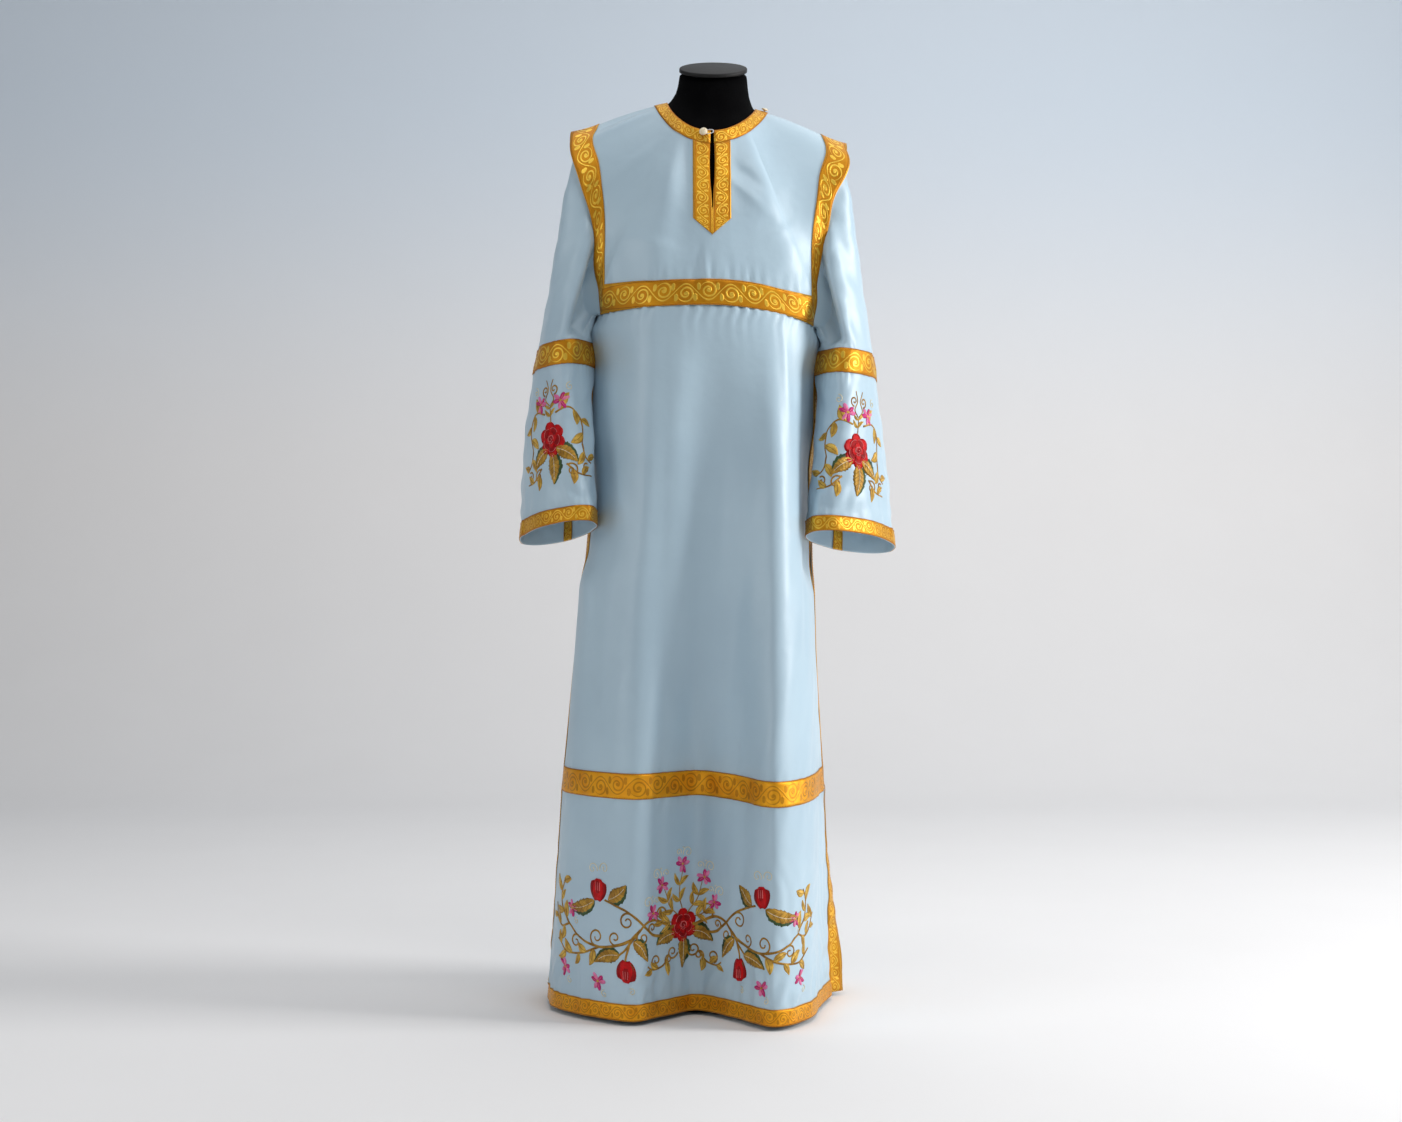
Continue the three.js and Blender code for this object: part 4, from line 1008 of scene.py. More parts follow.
def drag(x, z, height, by_x, by_z, length, fade_x, fade_z):
    """Slanting waves that fade out from a middle, by a reach, in x and in z."""
    wave = height * np.sin((x * by_x + by_z * z) / length)
    return wave * bell((x - fade_x[0]) / fade_x[1]) * bell((z - fade_z[0]) / fade_z[1])


def yoke_relief(points, normals, name):
    x, z = points[..., 0], points[..., 2]
    side = 1 if name == "front" else -1
    rows = np.linspace(0, 1, points.shape[0])[:, None]
    columns = np.arange(points.shape[1])[None]
    at_shoulder = smooth(np.minimum(columns, columns[:, ::-1]) / 5)
    fade = smooth(rows * 5) * smooth((1 - rows) * 9) * at_shoulder
    drags = sum(drag(x, z, *row) for row in YOKE_DRAGS)
    broad = 1.2 * np.sin((x + 0.3 * z) / 58.0) * side
    lift = (drags + broad) * fade
    length = arc_lengths(points, 0)
    to_end = length[-1:] - length - CHEST_BAND_WIDTH
    near_bottom = (np.abs(x) < 160) * smooth((1150 - z) / 30)
    lift = lift + puckers(x, to_end, 15, 1.0, 16.5, 0.3) * near_bottom * at_shoulder
    lift = lift + pulls(x, z) * 0.4 * fade * bell((z - 1120) / 30)
    for crease in YOKE_CREASES[name]:
        lift = lift + dent(x, z, *crease) * fade
    return lift[..., None] * normals


def full_yoke(name):
    """Both halves side by side, and the column where the second one starts."""
    order = ("left", "right") if name == "front" else ("right", "left")
    first, second = (yoke_half_points(name, side) for side in order)
    second = second[:, ::-1]
    if name == "front":
        half = slit_half_width(first.shape[0])[:, None]
        spread = np.linspace(0, 1, HALF_COLUMNS["placket"] + 1)[None]
        first[:, -len(spread[0]):, 0] -= half * spread
        second[:, :len(spread[0]), 0] += half * spread[:, ::-1]
        points = np.concatenate([first, second], axis=1)
    else:
        points = np.concatenate([first, second[:, 1:]], axis=1)
    return points, first.shape[1] - 1


def yoke_normals(points, name, middle):
    """Normals that ignore the gap of the slit."""
    normals = grid_normals(points)
    if name == "front":
        seam = normals[:, middle - 1] + normals[:, middle + 2]
        seam /= np.linalg.norm(seam, axis=-1, keepdims=True)
        normals[:, middle] = seam
        normals[:, middle + 1] = seam
    return normals


EVEN_REACH = 14  # thread lines on each side that even a depth out


def evened(depth):
    """Depths of a yoke, evened out across the thread lines except near its edges."""
    steps = np.arange(-EVEN_REACH, EVEN_REACH + 1)
    weight = bell(steps / 6.0)
    weight /= weight.sum()
    wide = np.pad(depth, ((0, 0), (EVEN_REACH, EVEN_REACH)), mode="reflect", reflect_type="odd")
    starts = EVEN_REACH + steps
    even = sum(w * wide[:, start:start + depth.shape[1]] for w, start in zip(weight, starts))
    rows = np.linspace(0, 1, depth.shape[0])[:, None]
    columns = np.arange(depth.shape[1])[None]
    from_side = np.minimum(columns, columns[:, ::-1])
    inside = smooth(rows * 8) * smooth((1 - rows) * 8) * smooth(from_side / EVEN_REACH)
    return depth + (even - depth) * inside


YOKES = {}
for name in ("front", "back"):
    points, middle = full_yoke(name)
    points[..., 1] = evened(points[..., 1])
    normals = yoke_normals(points, name, middle)
    points = points + yoke_relief(points, normals, name)
    normals = yoke_normals(points, name, middle)
    slit_row = COLLAR_ROWS + round(OPEN_ROWS * SLIT_END_SHARE)
    keep = (lambda r, c: (c != middle) | (r >= slit_row)) if name == "front" else None
    obj = cloth_shell(f"cloth_{name}_yoke", points, weave_map(points), CLOTH, normals, keep=keep)
    piece(obj, SATIN, "satin", f"{name}_yoke")
    YOKES[name] = {"points": points, "normals": normals, "middle": middle}


def yoke_part(name, rows, columns):
    yoke = YOKES[name]
    return yoke["points"][rows, columns], yoke["normals"][rows, columns]


def side_by_side(*parts):
    return np.concatenate([p for p, _ in parts], axis=1), np.concatenate([n for _, n in parts], axis=1)


FRONT_MIDDLE = YOKES["front"]["middle"]
outer_rows = slice(COLLAR_ROWS + OPEN_ROWS, None)
arm = HALF_COLUMNS["armhole"]
collar_rows = slice(0, COLLAR_ROWS + 1)

points, normals = side_by_side(
    yoke_part("front", collar_rows, slice(FRONT_MIDDLE + 1, None)),
    yoke_part("back", collar_rows, slice(None)),
    yoke_part("front", collar_rows, slice(0, FRONT_MIDDLE + 1)))
band("band_collar", "collar_band", points, normals, "rows", NARROW_GALLOON)

for name in ("front", "back"):
    columns = slice(arm, YOKES[name]["points"].shape[1] - arm)
    points, normals = yoke_part(name, outer_rows, columns)
    band(f"band_chest_{name}", f"chest_band_{name}", points, normals, "rows", WIDE_GALLOON)


# How the armhole trim's outer edge ripples, in mm: mean, swing and length divisor of each wave.
FLANGE = {"reach": (5.5, 2.0, 17.0), "lift": (1.6, 1.8, 13.0), "ends": 60}


def flange(points, normals, outward):
    """Lets the outer edge of an armhole trim stand out past the seam in soft ripples."""
    rows = np.linspace(0, 1, points.shape[0])[:, None]
    length = arc_lengths(points, 1)[-1][None]
    total = length[:, -1:]
    ends = smooth(length / FLANGE["ends"]) * smooth((total - length) / FLANGE["ends"])
    mean, swing, divisor = FLANGE["reach"]
    reach = (mean + swing * np.sin(length / divisor)) * ends
    mean, swing, divisor = FLANGE["lift"]
    lift = (mean + swing * np.sin(length / divisor + 0.8)) * ends
    points = points.copy()
    points[..., 0] += outward * reach * rows ** 3
    return points + normals * (lift * rows ** 2)[..., None]


for side, (first, second) in {"left": ("back", "front"), "right": ("front", "back")}.items():
    far = slice(YOKES[first]["points"].shape[1] - arm - 1, None)
    near = slice(0, arm + 1)
    points, normals = side_by_side(yoke_part(first, outer_rows, far), yoke_part(second, outer_rows, near))
    points = flange(points, normals, OUTWARD[side])
    band(f"band_armhole_{side}", f"armhole_trim_{side}", points, normals, "rows", WIDE_GALLOON)


def make_placket():
    """Galloon down both sides of the slit, ending in a point."""
    c = HALF_COLUMNS["placket"]
    shoulder = round(OPEN_ROWS * PLACKET_SHOULDER_SHARE)
    tip = round(OPEN_ROWS * PLACKET_TIP_SHARE)
    rows = slice(COLLAR_ROWS, COLLAR_ROWS + tip + 1)
    points, normals = yoke_part("front", rows, slice(FRONT_MIDDLE - c, FRONT_MIDDLE + 2 + c))
    points = points.copy()
    middle = (points[:, c] + points[:, c + 1]) / 2
    for row in range(shoulder, len(points)):
        share = (row - shoulder) / (tip - shoulder)
        points[row] += (middle[row] - points[row]) * min(share, PLACKET_TIP_CLOSING)
    slit_row = round(OPEN_ROWS * SLIT_END_SHARE)
    keep = lambda r, col: (col != c) | (r >= slit_row)
    top = points + normals * (GALLOON_GAP + GALLOON)
    from_middle = points[..., 0] - middle[:, None, 0]
    across = np.where(from_middle < 0, -1, 1) * (np.abs(from_middle) - PLACKET_BAND_MIDDLE)
    down = np.broadcast_to(-arc_lengths(points, 0)[:, :1], across.shape)
    uv = np.stack([down, across], axis=-1) * MM
    obj = cloth_shell("band_placket", top, uv, GALLOON, normals, keep=keep)
    add_seams(top, "columns")
    piece(obj, NARROW_GALLOON, "galloon", "placket")


make_placket()


# Sleeves

UPPER_ROWS, RING_CELLS = 64, 9
LOOP_CELLS = 44
SLEEVE_RADIUS = 78
UPPER_ROW_STEP, LOWER_ROW_STEP, CUFF_ROW_STEP = 3.9, 4.4, 3.0  # from row to row of the sleeve, in mm


# Creases of the sleeves: place is (mm round the sleeve from the side that faces the body, z).
SLEEVE_CREASES = {
    "left": [
        ((126, 792), (20, 9), -3.2, 12),
        ((96, 772), (16, 8), 2.4, -22),
        ((150, 764), (12, 8), -2.0, 30),
        ((128, 905), (26, 6), -1.6, 8),
        ((60, 860), (8, 34), 2.0, 14),
        ((-90, 850), (9, 46), -2.2, -10),
        ((60, 1120), (9, 60), 1.8, 10),
    ],
    "right": [
        ((118, 770), (20, 9), -2.8, -10),
        ((86, 752), (16, 8), 2.4, 24),
        ((146, 745), (12, 8), -1.8, -28),
        ((120, 888), (26, 6), -1.4, -8),
        ((58, 830), (8, 34), 1.8, -12),
        ((-86, 840), (9, 46), -2.0, 10),
        ((56, 1110), (9, 60), 1.6, -10),
    ],
}


# Forms of a sleeve round its ring: angles and widths in degrees, heights in mm.
RIDGE = {"angle": 102, "width": 17, "upper": 6.0, "lower": 2.5}
UPPER_HOLLOW = {"span": (26, 22, 98, 24), "depth": 30.0}
LOWER_HOLLOW = {"angle": 60, "width": 24, "depth": 5.0}
BODY_SIDE = {"angle": -12, "width": 30, "height": 16.0}
STRIP_ANGLES = (-52, -36)
STRIP_ROWS = 3 * RING_CELLS


def sleeve_relief(points, normals, side, angles):
    z = points[..., 2]
    rows = np.arange(points.shape[0])[:, None]
    below_elbow = rows - UPPER_ROWS - RING_CELLS
    above_cuff = points.shape[0] - RING_CELLS - rows
    upper = smooth(rows / 14) * smooth((UPPER_ROWS - rows) / 14)
    lower = smooth(below_elbow / 10) * smooth(above_cuff / 12)
    turn = angles[None]
    ridge = bell((turn - RIDGE["angle"]) / RIDGE["width"])
    hollow = between(turn, *UPPER_HOLLOW["span"])
    low_hollow = bell((turn - LOWER_HOLLOW["angle"]) / LOWER_HOLLOW["width"])
    lift = (RIDGE["upper"] * ridge - UPPER_HOLLOW["depth"] * hollow) * upper
    lift = lift + (RIDGE["lower"] * ridge - LOWER_HOLLOW["depth"] * low_hollow) * lower
    body_side = BODY_SIDE["height"] * bell((turn - BODY_SIDE["angle"]) / BODY_SIDE["width"])
    lift = lift + body_side * smooth((rows - UPPER_ROWS + 26) / 20) * smooth((z - 905) / 105)
    across = np.radians(angles)[None] * SLEEVE_RADIUS
    seam = rows / 4
    lift = lift - 3.0 * seam * np.exp(1 - seam)
    above = (UPPER_ROWS - rows) * UPPER_ROW_STEP
    below = below_elbow * LOWER_ROW_STEP
    cuff = (above_cuff - 1) * CUFF_ROW_STEP
    for distance, start in ((above, 0.1), (below, 0.4), (cuff, 0.7)):
        lift = lift + puckers(across, distance, 12, 0.6, 16, start)
    lift = lift + waves(across + 0.35 * z, (0.9, 92, 0.2), (0.5, 53, 0.7)) * smooth(rows / 12)
    lift = lift + waves(z + 0.4 * across, (0.6, 88, 0.1), (0.4, 41, 0.6))
    drag_share = 0.7 * bell((cuff - 16) / 18) + 0.35 * smooth(below / 12) * smooth(cuff / 12)
    lift = lift + pulls(across, z) * drag_share
    for crease in SLEEVE_CREASES[side]:
        lift = lift + dent(across, z, *crease)
    return lift[..., None] * normals


def make_sleeve(side):
    sign = -OUTWARD[side]
    flip = side == "right"
    loop, angles = armhole_loop(side, LOOP_CELLS)
    first = sleeve_ring(side, 0, angles)
    share = np.linspace(0, 1, UPPER_ROWS + 1)[:-1, None, None]
    upper = loop[None] + (first - loop)[None] * share
    last = len(SLEEVE_RINGS[side]) - 1
    rings = np.linspace(0, last, RING_CELLS * last + 1)
    points = np.concatenate([upper, sleeve_ring(side, rings[:, None], angles[None])])
    normals = grid_normals(points, loop=True) * sign
    points = points + sleeve_relief(points, normals, side, angles)
    normals = grid_normals(points, loop=True) * sign
    uv = weave_map(points, loop=True)
    obj = cloth_shell(f"cloth_sleeve_{side}", points, uv, CLOTH, normals, True, flip=flip)
    piece(obj, SATIN, "satin", f"sleeve_{side}")
    elbow = slice(UPPER_ROWS, UPPER_ROWS + RING_CELLS + 1)
    cuff = slice(len(points) - RING_CELLS - 1, None)
    for end, rows, material in (("elbow", elbow, WIDE_GALLOON), ("cuff", cuff, NARROW_GALLOON)):
        band(f"band_{end}_{side}", f"{end}_band_{side}", points[rows], normals[rows], "rows", material,
             True, flip)
    inner_back = np.where((angles < STRIP_ANGLES[1]) & (angles > STRIP_ANGLES[0]))[0]
    strip = slice(len(points) - STRIP_ROWS - 1, None), slice(inner_back[0], inner_back[-1] + 1)
    inside = points[strip] - normals[strip] * (CLOTH + GALLOON_GAP + GALLOON)
    band(f"band_strip_{side}", f"sleeve_strip_{side}", inside, -normals[strip], "columns", NARROW_GALLOON,
         False, not flip, 0.0)
    return points, normals, angles


SLEEVES = {side: make_sleeve(side) for side in ("left", "right")}


# Machine stitches: Geometry Nodes lay a small bead of thread at each step of the seam lines

STITCH_SIZES = {"Pitch": 0.0044, "Length": 0.0030, "Thickness": 0.0006}  # metres


def seam_thread_material():
    paint = Paint("seam_thread")
    ply = paint.twist(1100.0)
    color = paint.mix(paint.noise(60.0).step(0.3, 0.7), srgb(150, 92, 10), srgb(208, 152, 52))
    return paint.finish(Base_Color=color, Roughness=0.5 - ply * 0.1, Normal=paint.bump(ply, 0.0001, 0.5))


def stitch_tree(material):
    tree = bpy.data.node_groups.new("stitch_rows", "GeometryNodeTree")
    tree.interface.new_socket("Geometry", in_out="INPUT", socket_type="NodeSocketGeometry")
    for name in STITCH_SIZES:
        tree.interface.new_socket(name, in_out="INPUT", socket_type="NodeSocketFloat")
    tree.interface.new_socket("Geometry", in_out="OUTPUT", socket_type="NodeSocketGeometry")
    add = tree.nodes.new
    sizes, result = add("NodeGroupInput"), add("NodeGroupOutput")
    line, even = add("GeometryNodeMeshToCurve"), add("GeometryNodeResampleCurve")
    bead, extent = add("GeometryNodeMeshUVSphere"), add("ShaderNodeCombineXYZ")
    shape, tangent = add("GeometryNodeTransform"), add("GeometryNodeInputTangent")
    turn, spread = add("FunctionNodeAlignRotationToVector"), add("GeometryNodeInstanceOnPoints")
    real, paint = add("GeometryNodeRealizeInstances"), add("GeometryNodeSetMaterial")
    even.mode = "LENGTH"
    turn.axis = "Z"
    bead.inputs["Segments"].default_value = 5
    bead.inputs["Rings"].default_value = 3
    bead.inputs["Radius"].default_value = 0.5
    paint.inputs["Material"].default_value = material
    for source, out, target, into in (
            (sizes, "Geometry", line, "Mesh"), (line, "Curve", even, "Curve"),
            (sizes, "Pitch", even, "Length"), (sizes, "Thickness", extent, "X"),
            (sizes, "Thickness", extent, "Y"), (sizes, "Length", extent, "Z"),
            (extent, "Vector", shape, "Scale"), (bead, "Mesh", shape, "Geometry"),
            (even, "Curve", spread, "Points"), (shape, "Geometry", spread, "Instance"),
            (tangent, "Tangent", turn, "Vector"), (turn, "Rotation", spread, "Rotation"),
            (spread, "Instances", real, "Geometry"), (real, "Geometry", paint, "Geometry"),
            (paint, "Geometry", result, "Geometry")):
        tree.links.new(source.outputs[out], target.inputs[into])
    return tree


def lay_stitches(name, paths):
    starts = np.cumsum([0] + [len(path) for path in paths])
    edges = [(k, k + 1) for start, end in zip(starts[:-1], starts[1:]) for k in range(start, end - 1)]
    mesh = bpy.data.meshes.new(name)
    mesh.from_pydata((np.concatenate(paths) * MM).tolist(), edges, [])
    obj = add_object(name, mesh)
    material = seam_thread_material()
    rows = obj.modifiers.new("rows", "NODES")
    rows.node_group = stitch_tree(material)
    for item in rows.node_group.interface.items_tree:
        if item.in_out == "INPUT" and item.name in STITCH_SIZES:
            rows[item.identifier] = STITCH_SIZES[item.name]
    bake_modifiers(obj)
    piece(obj, material, "galloon")


lay_stitches("stitch_seams", SEAM_PATHS)


# Embroidery: every motif is a padded ribbon of thread along a path in the cloth's own coordinates

class Cloth:
    """Places pattern coordinates (s across, h up, in mm from an origin) on a grid of cloth points."""

    def __init__(self, points, normals, column, height):
        self.points, self.normals = points, normals
        self.across = arc_lengths(points, 1)
        self.across = self.across - self.across[:, column][:, None]
        if points[0, column + 4, 0] < points[0, column, 0]:
            self.across = -self.across
        self.z = points[:, column, 2] - height

    def put(self, s, h, lift):
        row = np.clip(np.interp(-h, -self.z, np.arange(len(self.z))), 0, len(self.z) - 1.001)
        low = np.floor(row).astype(int)
        share = (row - low)[:, None]
        found = []
        for step in (0, 1):
            place, normal = np.empty((len(s), 3)), np.empty((len(s), 3))
            for r in np.unique(low + step):
                here = low + step == r
                order = np.argsort(self.across[r])
                for k in range(3):
                    place[here, k] = np.interp(s[here], self.across[r][order], self.points[r][order, k])
                    normal[here, k] = np.interp(s[here], self.across[r][order], self.normals[r][order, k])
            found.append((place, normal))
        place = found[0][0] * (1 - share) + found[1][0] * share
        normal = found[0][1] * (1 - share) + found[1][1] * share
        normal /= np.linalg.norm(normal, axis=1, keepdims=True)
        return place + normal * lift[:, None]


RIBBON_ACROSS = np.array([-1, -0.6, 0, 0.6, 1, 0])
RIBBON_RISE = np.array([0, 0.8, 1, 0.8, 0, 0])


class Needlework:
    """Ribbons of thread, gathered by colour."""

    def __init__(self):
        self.threads = {}

    def ribbon(self, color, path, half, height, base=0.0, groove=1.0, shift=0.0):
        """One thread: its half width, and the height, base, groove and sideways shift of its section."""
        path = np.asarray(path, float)
        half = np.maximum(np.broadcast_to(np.asarray(half, float), len(path)), 0.2)
        along = np.gradient(path, axis=0)
        along /= np.maximum(np.linalg.norm(along, axis=1, keepdims=True), 1e-6)
        sideways = np.stack([-along[:, 1], along[:, 0]], axis=1)
        reach = RIBBON_ACROSS[None, :, None] * half[:, None, None] + shift
        place = path[:, None] + sideways[:, None] * reach
        rise = RIBBON_RISE * height
        rise[2] *= groove
        rise = rise + base
        rise[[0, 4]] = -0.1 + base * 0.5
        rise[5] = -0.35
        lift = np.broadcast_to(rise, place.shape[:2])
        length = arc_lengths(path, 0)[:, None]
        uv = np.stack([np.broadcast_to(length, lift.shape), RIBBON_ACROSS[None] * half[:, None]], axis=-1)
        self.threads.setdefault(color, []).append((place, lift, uv))

    def make(self, name, cloth):
        for color, ribbons in self.threads.items():
            vertices, faces, corners, start = [], [], [], 0
            for place, lift, uv in ribbons:
                n = len(place)
                vertices.append(np.concatenate([place.reshape(-1, 2), lift.reshape(-1, 1)], axis=1))
                i, k = np.meshgrid(np.arange(n - 1), np.arange(6), indexing="ij")
                i, k = i.ravel(), k.ravel()
                after = (k + 1) % 6
                quads = np.stack([i * 6 + k, (i + 1) * 6 + k, (i + 1) * 6 + after, i * 6 + after], axis=1)
                faces.extend(map(tuple, (quads + start).tolist()))
                faces.append(tuple(range(start + 5, start - 1, -1))[::-1])
                faces.append(tuple(range(start + n * 6 - 1, start + n * 6 - 7, -1)))
                flat = uv.reshape(-1, 2)
                corners.append(flat[quads].reshape(-1, 2))
                corners.append(flat[:6])
                corners.append(flat[-6:][::-1])
                start += n * 6
            flat = np.concatenate(vertices)
            points = cloth.put(flat[:, 0], flat[:, 1], flat[:, 2])
            obj = make_mesh(f"stitch_{color}_{name}", points, faces, np.concatenate(corners) * MM)
            mesh = bmesh.new()
            mesh.from_mesh(obj.data)
            bmesh.ops.recalc_face_normals(mesh, faces=mesh.faces)
            mesh.to_mesh(obj.data)
            mesh.free()
            piece(obj, THREADS[color], "satin")


def towards(degrees):
    """Unit vector that points at the angle."""
    angle = math.radians(degrees)
    return np.array([math.cos(angle), math.sin(angle)])


def left_of(direction):
    return np.array([-direction[1], direction[0]])


def heading_at(path, k):
    """Direction of a path at its point k, in degrees."""
    direction = path[k + 1] - path[k]
    return math.degrees(math.atan2(direction[1], direction[0]))


def curve(points):
    """Smooth path through the points, with a point each 2.2 mm or so."""
    points = np.asarray(points, float)
    count = max(6, int(arc_lengths(points, 0)[-1] / 2.2))
    t = np.linspace(0, len(points) - 1, count + 1)
    return np.stack([through(points[:, 0], t), through(points[:, 1], t)], axis=1)


def spiral(center, start, radius, turns, hand, tight=0.22):
    """Path that winds in towards center. start is an angle in degrees and hand the way it turns."""
    t = np.linspace(0, 1, int(10 + 22 * abs(turns)))
    angle = np.radians(start) + hand * 2 * np.pi * turns * t
    r = radius * (1 - (1 - tight) * t)
    return np.stack([center[0] + r * np.cos(angle), center[1] + r * np.sin(angle)], axis=1)


def stem(work, points, half):
    path = curve(points)
    taper = 1 - 0.35 * np.linspace(0, 1, len(path))
    work.ribbon("vine", path, half * taper, 0.8)
    return path


def curl(work, center, start, radius, turns, hand, half, color="vine"):
    path = spiral(center, start, radius, turns, hand)
    work.ribbon(color, path, half * (1 - 0.3 * np.linspace(0, 1, len(path))), 0.75)
    knot = path[-1] + np.array([[-1.2, 0], [-0.6, 0], [0, 0], [0.6, 0], [1.2, 0]])
    work.ribbon(color, knot, np.array([0.4, 1.1, 1.4, 1.1, 0.4]), 0.9)


def tendril(work, start, heading, radius, turns, hand):
    """Curl that leaves a vine at start along the heading and turns to its left (1) or right (-1)."""
    angle = math.radians(heading + 90 * hand)
    center = (start[0] + radius * math.cos(angle), start[1] + radius * math.sin(angle))
    curl(work, center, math.degrees(angle) + 180, radius, turns, hand, 1.7)


def leaflet(work, base, angle, length, half=None, color="gold"):
    """Small plain leaf with a seam down its middle."""
    half = length * 0.20 if half is None else half
    t = np.linspace(0, 1, 12)
    bend = 0.10 * length * np.sin(np.pi * t)
    direction = towards(angle)
    path = np.asarray(base) + direction * (length * t)[:, None] + left_of(direction) * bend[:, None]
    width = half * np.sin(np.pi * t ** 0.85) ** 0.8
    work.ribbon(color, path, width, 1.0, 0.1, 0.45)
    if color == "gold":
        work.ribbon("vein", path[1:-2], 0.42, 0.3, 0.55)


def big_leaf(work, base, tip, half, hand):
    """Toothed leaf: gold threads over a dark green edge, with a pale vein."""
    base, tip = np.asarray(base, float), np.asarray(tip, float)
    t = np.linspace(0, 1, 31)
    direction = tip - base
    length = np.linalg.norm(direction)
    side = left_of(direction) / length
    path = base + direction * t[:, None] + side * (0.09 * length * hand * np.sin(np.pi * t))[:, None]
    saw = 1 - np.mod(t * 6.5, 1)
    shape = np.sin(np.pi * t ** 0.72) ** 0.85
    work.ribbon("green", path, half * 1.10 * shape * (0.90 + 0.20 * saw), 0.7, 0.0, 0.8, 0.9 * hand)
    work.ribbon("bronze", path, half * 0.90 * shape * (0.90 + 0.17 * saw), 1.1, 0.3, 0.35, -0.5 * hand)
    work.ribbon("pale", path[2:-5], 0.55, 0.5, 0.8)
    for k in range(6, 24, 4):
        for sign in (-1, 1):
            end = path[k + 3] + side * (half * 0.62 * shape[k] * sign)
            work.ribbon("vein", np.linspace(path[k], end, 5), 0.35, 0.35, 0.95)


def petal(work, color, center, angle, start, end, half, base):
    t = np.linspace(0, 1, 9)
    path = np.asarray(center) + towards(angle) * (start + (end - start) * t)[:, None]
    width = half * np.sin(np.pi * (0.12 + 0.82 * t)) ** 0.55
    work.ribbon(color, path, width, 0.9, base, 0.85)


def blossom(work, center, size, turn):
    """Small flower of six narrow petals, pink and magenta in turn."""
    for k in range(6):
        angle = turn + k * 360 / 6 + 9 * (-1) ** k
        reach = size * (1 - 0.12 * (k % 3 == 1))
        color = "magenta" if k % 2 else "pink"
        petal(work, color, center, angle, size * 0.14, reach, size * 0.26, 0.1 + 0.04 * k)
        line = np.asarray(center) + towards(angle) * np.linspace(size * 0.2, size * 0.62, 5)[:, None]
        work.ribbon("rosy", line, 0.45, 0.4, 0.9)
    dot(work, "gold", center, size * 0.17, 1.2)


def dot(work, color, center, radius, height=0.8):
    t = np.linspace(-1, 1, 7)
    path = np.asarray(center) + np.stack([t * radius, 0 * t], axis=1)
    work.ribbon(color, path, radius * np.sqrt(np.maximum(1 - t * t, 0.02)), height)


# Rings of a rose from the outside in: colour, petals, start, end and half width as shares of the rose,
# height of the base in mm, and the angle of the first petal.
ROSE_RINGS = [
    ("red", 6, 0.38, 1.0, 0.42, 0.15, 90),
    ("crimson", 5, 0.26, 0.74, 0.36, 0.7, 54),
    ("red", 4, 0.10, 0.50, 0.27, 1.25, 90),
    ("crimson", 3, 0.02, 0.28, 0.17, 1.75, 30),
]


def rose(work, center, width, height, turn=0.0):
    """Full rose: rings of padded petals with thin pink threads along their edges."""
    center = np.asarray(center, float)
    scale = np.array([width, height]) / 2
    t = np.linspace(0, 1, 9)
    for color, count, start, end, half, base, first in ROSE_RINGS:
        for k in range(count):
            degrees = turn + first + k * 360 / count
            path = center + towards(degrees) * scale * (start + (end - start) * t)[:, None]
            shape = half * scale.mean() * np.sin(np.pi * (0.14 + 0.80 * t)) ** 0.5
            work.ribbon(color, path, shape, 0.8, base + 0.06 * k, 0.92)
            sweep = np.radians(np.linspace(-1, 1, 9) * 0.40 * 360 / count)
            edge = math.radians(degrees) + sweep
            rim = end * (0.94 - 0.10 * (sweep / sweep[-1]) ** 2)
            line = center + np.stack([np.cos(edge), np.sin(edge)], axis=1) * scale * rim[:, None]
            work.ribbon("crimson" if color == "red" else "rosy", line, 0.32, 0.35, base + 0.8)
    swirl = spiral(center, turn + 20, scale.mean() * 0.26, 1.2, 1, 0.15)
    work.ribbon("rosy", swirl, 0.4, 0.4, 2.6)


def bud(work, center, angle, size):
    """Rosebud that opens towards the angle, in a green cup."""
    up = towards(angle)
    foot = np.asarray(center, float) - up * size * 0.52
    for offset, reach in ((58, 0.62), (122, 0.62), (90, 0.42)):
        leaflet(work, foot, angle - 90 + offset, size * reach, size * 0.13, "green")
    layers = [(-22, "crimson", 0.02, 0.84, 0.27, 0.2), (22, "crimson", 0.02, 0.84, 0.27, 0.3),
              (0, "red", 0.02, 0.90, 0.36, 0.8), (2, "crimson", 0.30, 0.82, 0.17, 1.4)]
    for offset, color, start, end, half, base in layers:
        petal(work, color, foot, angle + offset, size * start, size * end, size * half, base)
    for shift in (-0.10, 0.01, 0.11):
        line = foot - left_of(up) * size * shift + up * np.linspace(size * 0.42, size * 0.76, 6)[:, None]
        work.ribbon("rosy", line, 0.38, 0.4, 2.1)


def sprig(work, points, pairs, length):
    """Stem with pairs of leaflets at the given shares of its length."""
    path = stem(work, points, 1.0)
    for share in pairs:
        k = min(len(path) - 2, int(share * (len(path) - 1)))
        for lean in (42, -42):
            leaflet(work, path[k], heading_at(path, k) + lean, length)


def leafy(work, points, every, length, first, half):
    """Stem with leaflets on alternate sides."""
    path = stem(work, points, half)
    distance = arc_lengths(path, 0)
    for n in range(int(distance[-1] / every)):
        k = min(len(path) - 2, int(np.searchsorted(distance, (n + 0.6) * every)))
        side = first if n % 2 == 0 else -first
        size = length * (1 - 0.12 * (n % 3))
        leaflet(work, path[k], heading_at(path, k) + side * 46, size, size * 0.26)


HALF_VINES = [
    [(14, -5), (36, 6), (58, 14), (78, 7), (95, -12), (110, -30), (126, -42)],
    [(14, 5), (34, -9), (56, -9), (76, 6), (97, 25), (118, 35), (139, 43)],
    [(96, -12), (118, -21), (146, -27), (170, -18), (188, 0)],
    [(84, 2), (98, -14), (104, -30), (107, -46)],
]
